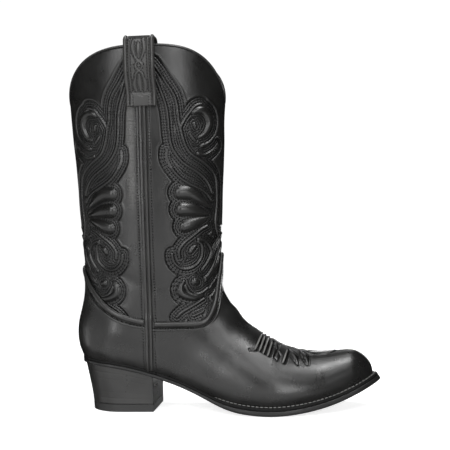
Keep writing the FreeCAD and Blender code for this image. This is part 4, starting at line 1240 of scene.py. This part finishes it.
def edge_material(name, base, roughness, gloss):
    """Edge-dyed, burnished sole leather with the faint layers of its fibres."""
    shader = Shader(name)
    fibres = shader.noise(420.0, 4.0, 0.6, (0.25, 0.25, 2.2))
    scuffs = shader.noise(90.0, 6.0, 0.65)
    skin = shader.blend(shader.ramp(scuffs, 0.52, 0.72), colour(base), colour(base * 1.8, (1.0, 0.96, 0.9)))
    rough = shader.ramp(fibres, 0.3, 0.7, roughness - 0.06, roughness + 0.1)
    normal = shader.bump(fibres, 0.0002, 0.5)
    return shader.finish(Base_Color=skin, Roughness=rough, Specular_IOR_Level=gloss, Normal=normal)


def plain_material(name, rgb, roughness, grain_scale, grain_depth, metallic):
    """A material of one colour, a little lighter and darker with its fine surface grain."""
    shader = Shader(name)
    grain = shader.noise(grain_scale, 5.0, 0.6)
    shade = shader.blend(shader.ramp(grain, 0.3, 0.7), colour(0.8, rgb), colour(1.15, rgb))
    normal = shader.bump(grain, grain_depth, 0.5)
    return shader.finish(Base_Color=shade, Roughness=roughness, Metallic=metallic, Normal=normal)


# Material, colour, roughness, grains per metre, grain depth in metres, metallic, and its CAD nodes.
PLAIN_FINISHES = [
    ("welt_thread", (0.13, 0.13, 0.125), 0.5, 2500.0, 0.0001, 0.0, ["welt_stitching"]),
    ("lift_rubber", (0.011, 0.011, 0.011), 0.45, 1200.0, 0.00012, 0.0, ["top_lift"]),
    ("padding_foam", (0.12, 0.12, 0.12), 0.9, 1800.0, 0.0002, 0.0,
     ["shaft_padding_front", "shaft_padding_back"]),
    ("stiffener_board", (0.5, 0.4, 0.27), 0.7, 900.0, 0.00008, 0.0, ["heel_stiffener", "toe_puff"]),
    ("nail_steel", (0.5, 0.5, 0.5), 0.35, 900.0, 0.00003, 1.0, ["heel_nails", "heel_screw", "shank"]),
    ("insole_board", (0.42, 0.29, 0.17), 0.7, 700.0, 0.0001, 0.0, ["insole"]),
    ("lift_nail_brass", (0.7, 0.52, 0.22), 0.3, 900.0, 0.00003, 1.0, ["top_lift_nails"]),
    ("peg_birch", (0.6, 0.44, 0.26), 0.6, 600.0, 0.0001, 0.0, ["waist_pegs"]),
    ("interlining_cotton", (0.62, 0.6, 0.54), 0.85, 1400.0, 0.00012, 0.0, ["vamp_interlining"]),
    ("rib_canvas", (0.55, 0.5, 0.4), 0.85, 1100.0, 0.0002, 0.0, ["insole_rib"]),
    ("cork", (0.36, 0.22, 0.11), 0.8, 500.0, 0.0003, 0.0, ["cork_filler"]),
]


def dress_cad_nodes():
    """Better finishes for the CAD pieces that are shown as they are."""
    lining = leather_material("lining_pigskin", 0.16, 0.62, tint=(1.0, 0.76, 0.5))
    lined = ["shaft_lining_front", "shaft_lining_back", "vamp_lining", "heel_lining"]
    finishes = [(lining, lined), (leather_material("sock_leather", 0.05, 0.5), ["sock_liner"])]
    finishes += [(plain_material(*finish), nodes) for *finish, nodes in PLAIN_FINISHES]
    for material, nodes in finishes:
        for node in nodes:
            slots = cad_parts[node].data.materials
            for k in range(len(slots)):
                slots[k] = material
    add_bevel(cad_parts["top_lift"])


# ---------------------------------------------------------------- studio


def white_material(name, diffuse, glow):
    return Shader(name).finish(
        Base_Color=colour(diffuse), Roughness=0.9, Specular_IOR_Level=0.0, Emission_Color=colour(1.0),
        Emission_Strength=glow)


PANEL = (0.45, 0.45)
# Name, degrees right of straight in front and up, size, power, and for some the target and distance from it.
SOFTBOXES = [
    ("front_high", 0, 30, PANEL, 2.7),
    ("front_left", -27, 7, (0.28, 0.6), 3.6),
    ("front_left_high", -22, 30, PANEL, 4.4),
    ("front_right", 24, 9, (0.4, 0.55), 5.0),
    ("front_right_high", 24, 42, PANEL, 4.2),
    ("high_right", 40, 62, PANEL, 5.5),
    ("top_right", 60, 72, PANEL, 7.5),
    ("top_back", 140, 72, PANEL, 2.0),
    ("back_left", -120, 52, PANEL, 5.0),
    ("back", 170, 30, PANEL, 0.8),
    ("floor_front", 0, -46, (0.9, 0.5), 1.7, (0.0, -0.2, 0.3), 0.45),
    ("floor_left", -60, -20, (0.5, 0.5), 0.7, (-0.1, 0.0, 0.25), 0.7),
    ("heel_left", -87, -3, (0.15, 0.2), 0.35, (-0.1, 0.0, 0.05), 0.9),
    ("heel_right", 150, 3, (0.26, 0.12), 0.45, (-0.05, 0.0, 0.025), 0.35),
]
BOOT_MIDDLE = (-0.03, 0.0, 0.16)
HALF_VIEW = 0.264706  # half the width of the camera's view, over its distance


def softbox(name, azimuth, elevation, size, power, target=BOOT_MIDDLE, distance=1.4):
    """A soft light seen from its target at an angle to the right of straight in front, and an angle up."""
    turn, up = math.radians(azimuth), math.radians(elevation)
    aim = Vector((math.sin(turn) * math.cos(up), -math.cos(turn) * math.cos(up), math.sin(up)))
    lamp = bpy.data.lights.new(name, "AREA")
    lamp.shape = "RECTANGLE"
    lamp.size, lamp.size_y = size
    lamp.energy = power
    holder = bpy.data.objects.new(name, lamp)
    bpy.context.collection.objects.link(holder)
    holder.visible_camera = False
    holder.location = Vector(target) + aim * distance
    holder.rotation_euler = (-aim).to_track_quat("-Z", "Y").to_euler()


def sweep_mesh():
    """A round white wall that rises out of the floor all round the boot."""
    profile = [(0.9, 0.0), (1.9, 0.0), (2.2, 0.06), (2.4, 0.25), (2.5, 0.6), (2.5, 2.6)]
    turns = np.linspace(0.0, 2.0 * math.pi, 65)[:-1]
    points = [(r * math.cos(t), r * math.sin(t), z - 0.0008) for r, z in profile for t in turns]
    mesh = bpy.data.meshes.new("studio_sweep")
    mesh.from_pydata(points, [], grid_faces(len(profile), len(turns), wrap=True))
    return mesh


def build_studio():
    """A white floor and sweep, with soft lights in front, above and beside the boot."""
    bpy.ops.mesh.primitive_plane_add(size=1.0, location=(0.0, 0.0, -0.0006))
    floor = bpy.context.object
    floor.name = "studio_floor"
    floor.scale = (2.2, 2.2, 1.0)
    floor.data.materials.append(white_material("floor_white", 0.8, 0.78))
    floor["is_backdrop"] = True
    sweep = bpy.data.objects.new("studio_sweep", sweep_mesh())
    bpy.context.collection.objects.link(sweep)
    sweep.data.materials.append(white_material("sweep_white", 0.0, 1.05))
    sweep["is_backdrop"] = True
    for hidden in ("visible_glossy", "visible_diffuse", "visible_shadow"):
        setattr(sweep, hidden, False)
    floor.visible_shadow = False
    floor.visible_glossy = False
    world = bpy.data.worlds.new("studio")
    world.use_nodes = True
    world.node_tree.nodes["Background"].inputs["Color"].default_value = colour(0.006)
    bpy.context.scene.world = world
    for lamp in SOFTBOXES:
        softbox(*lamp)


def place_camera():
    """A camera in front of the outer side that rolls a little, with the toe turned a little towards it."""
    turn, roll = math.radians(6.5), 0.02
    distance, height, shift_x = 0.816, 0.174, 0.0028
    back = Vector((math.sin(turn), -math.cos(turn), 0.0))
    right = Vector((math.cos(turn), math.sin(turn), 0.0))
    upward = Vector((0.0, 0.0, 1.0))
    side = right * math.cos(roll) - upward * math.sin(roll)
    up = upward * math.cos(roll) + right * math.sin(roll)
    camera = bpy.data.cameras.new("camera")
    camera.angle = 2.0 * math.atan(HALF_VIEW)
    holder = bpy.data.objects.new("camera", camera)
    bpy.context.collection.objects.link(holder)
    place = Vector((shift_x, 0.0, height)) + back * distance
    holder.matrix_world = Matrix.Translation(place) @ Matrix((side, up, back)).transposed().to_4x4()
    bpy.context.scene.camera = holder


def build_boot():
    upper = leather_material("black_upper_leather", stitched=True)
    trim = leather_material("black_trim_leather", 0.012, 0.3)
    # the strap leather is lighter than the upper: painted light for the strap that stands off the shaft
    lit_strap_leather = leather_material("strap_leather_painted_light", 0.024, 0.3, stitched=True)
    edge = edge_material("sole_edge_leather", 0.008, 0.36, 0.35)
    # very dark, dull welt and rand: their black dye plus painted shade of the crevice under the upper
    welt = edge_material("welt_leather_painted_shade", 0.004, 0.5, 0.12)
    heel = leather_material("heel_stack_leather", 0.015, 0.3)
    shaft_panel("shaft_front", 1.0, vamp_edge, upper)
    shaft_panel("shaft_back", 3.0, counter_edge, upper)
    build_vamp(upper)
    # the cords' light grey colour is a painted highlight on black leather cords
    build_vamp_cords(leather_material("cord_leather_painted_highlight", 0.15, 0.32))
    build_counter(upper)
    build_rim("vamp_rim", 1.0, vamp_edge, trim)
    build_rim("counter_rim", 3.0, counter_edge, trim)
    build_binding("topline_binding_front", 1.0, trim)
    build_binding("topline_binding_back", 3.0, trim)
    for side, name in ((-1.0, "lateral"), (1.0, "medial")):
        build_piping(side, f"side_piping_{name}", trim)
        build_pull_strap(side, f"pull_strap_{name}", lit_strap_leather)
    meet = turn_at(BREAST_X + 4.0, 0.0)
    build_welt_strip("welt", meet, 4.0 - meet, forepart_outset, welt)
    build_welt_strip("heel_rand", 0.001 - meet, meet - 0.001, lambda x: np.full_like(x, RAND_OUTSET), welt)
    build_outsole(edge)
    build_heel_block(heel)
    dress_cad_nodes()


def write_size(sizes, key):
    sizes[key] = [[float(v) for v in corner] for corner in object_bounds()]


sizes = {}
write_size(sizes, "frame")
build_boot()
build_studio()
place_camera()
bpy.context.scene.view_settings.view_transform = "Standard"
write_size(sizes, "finished")
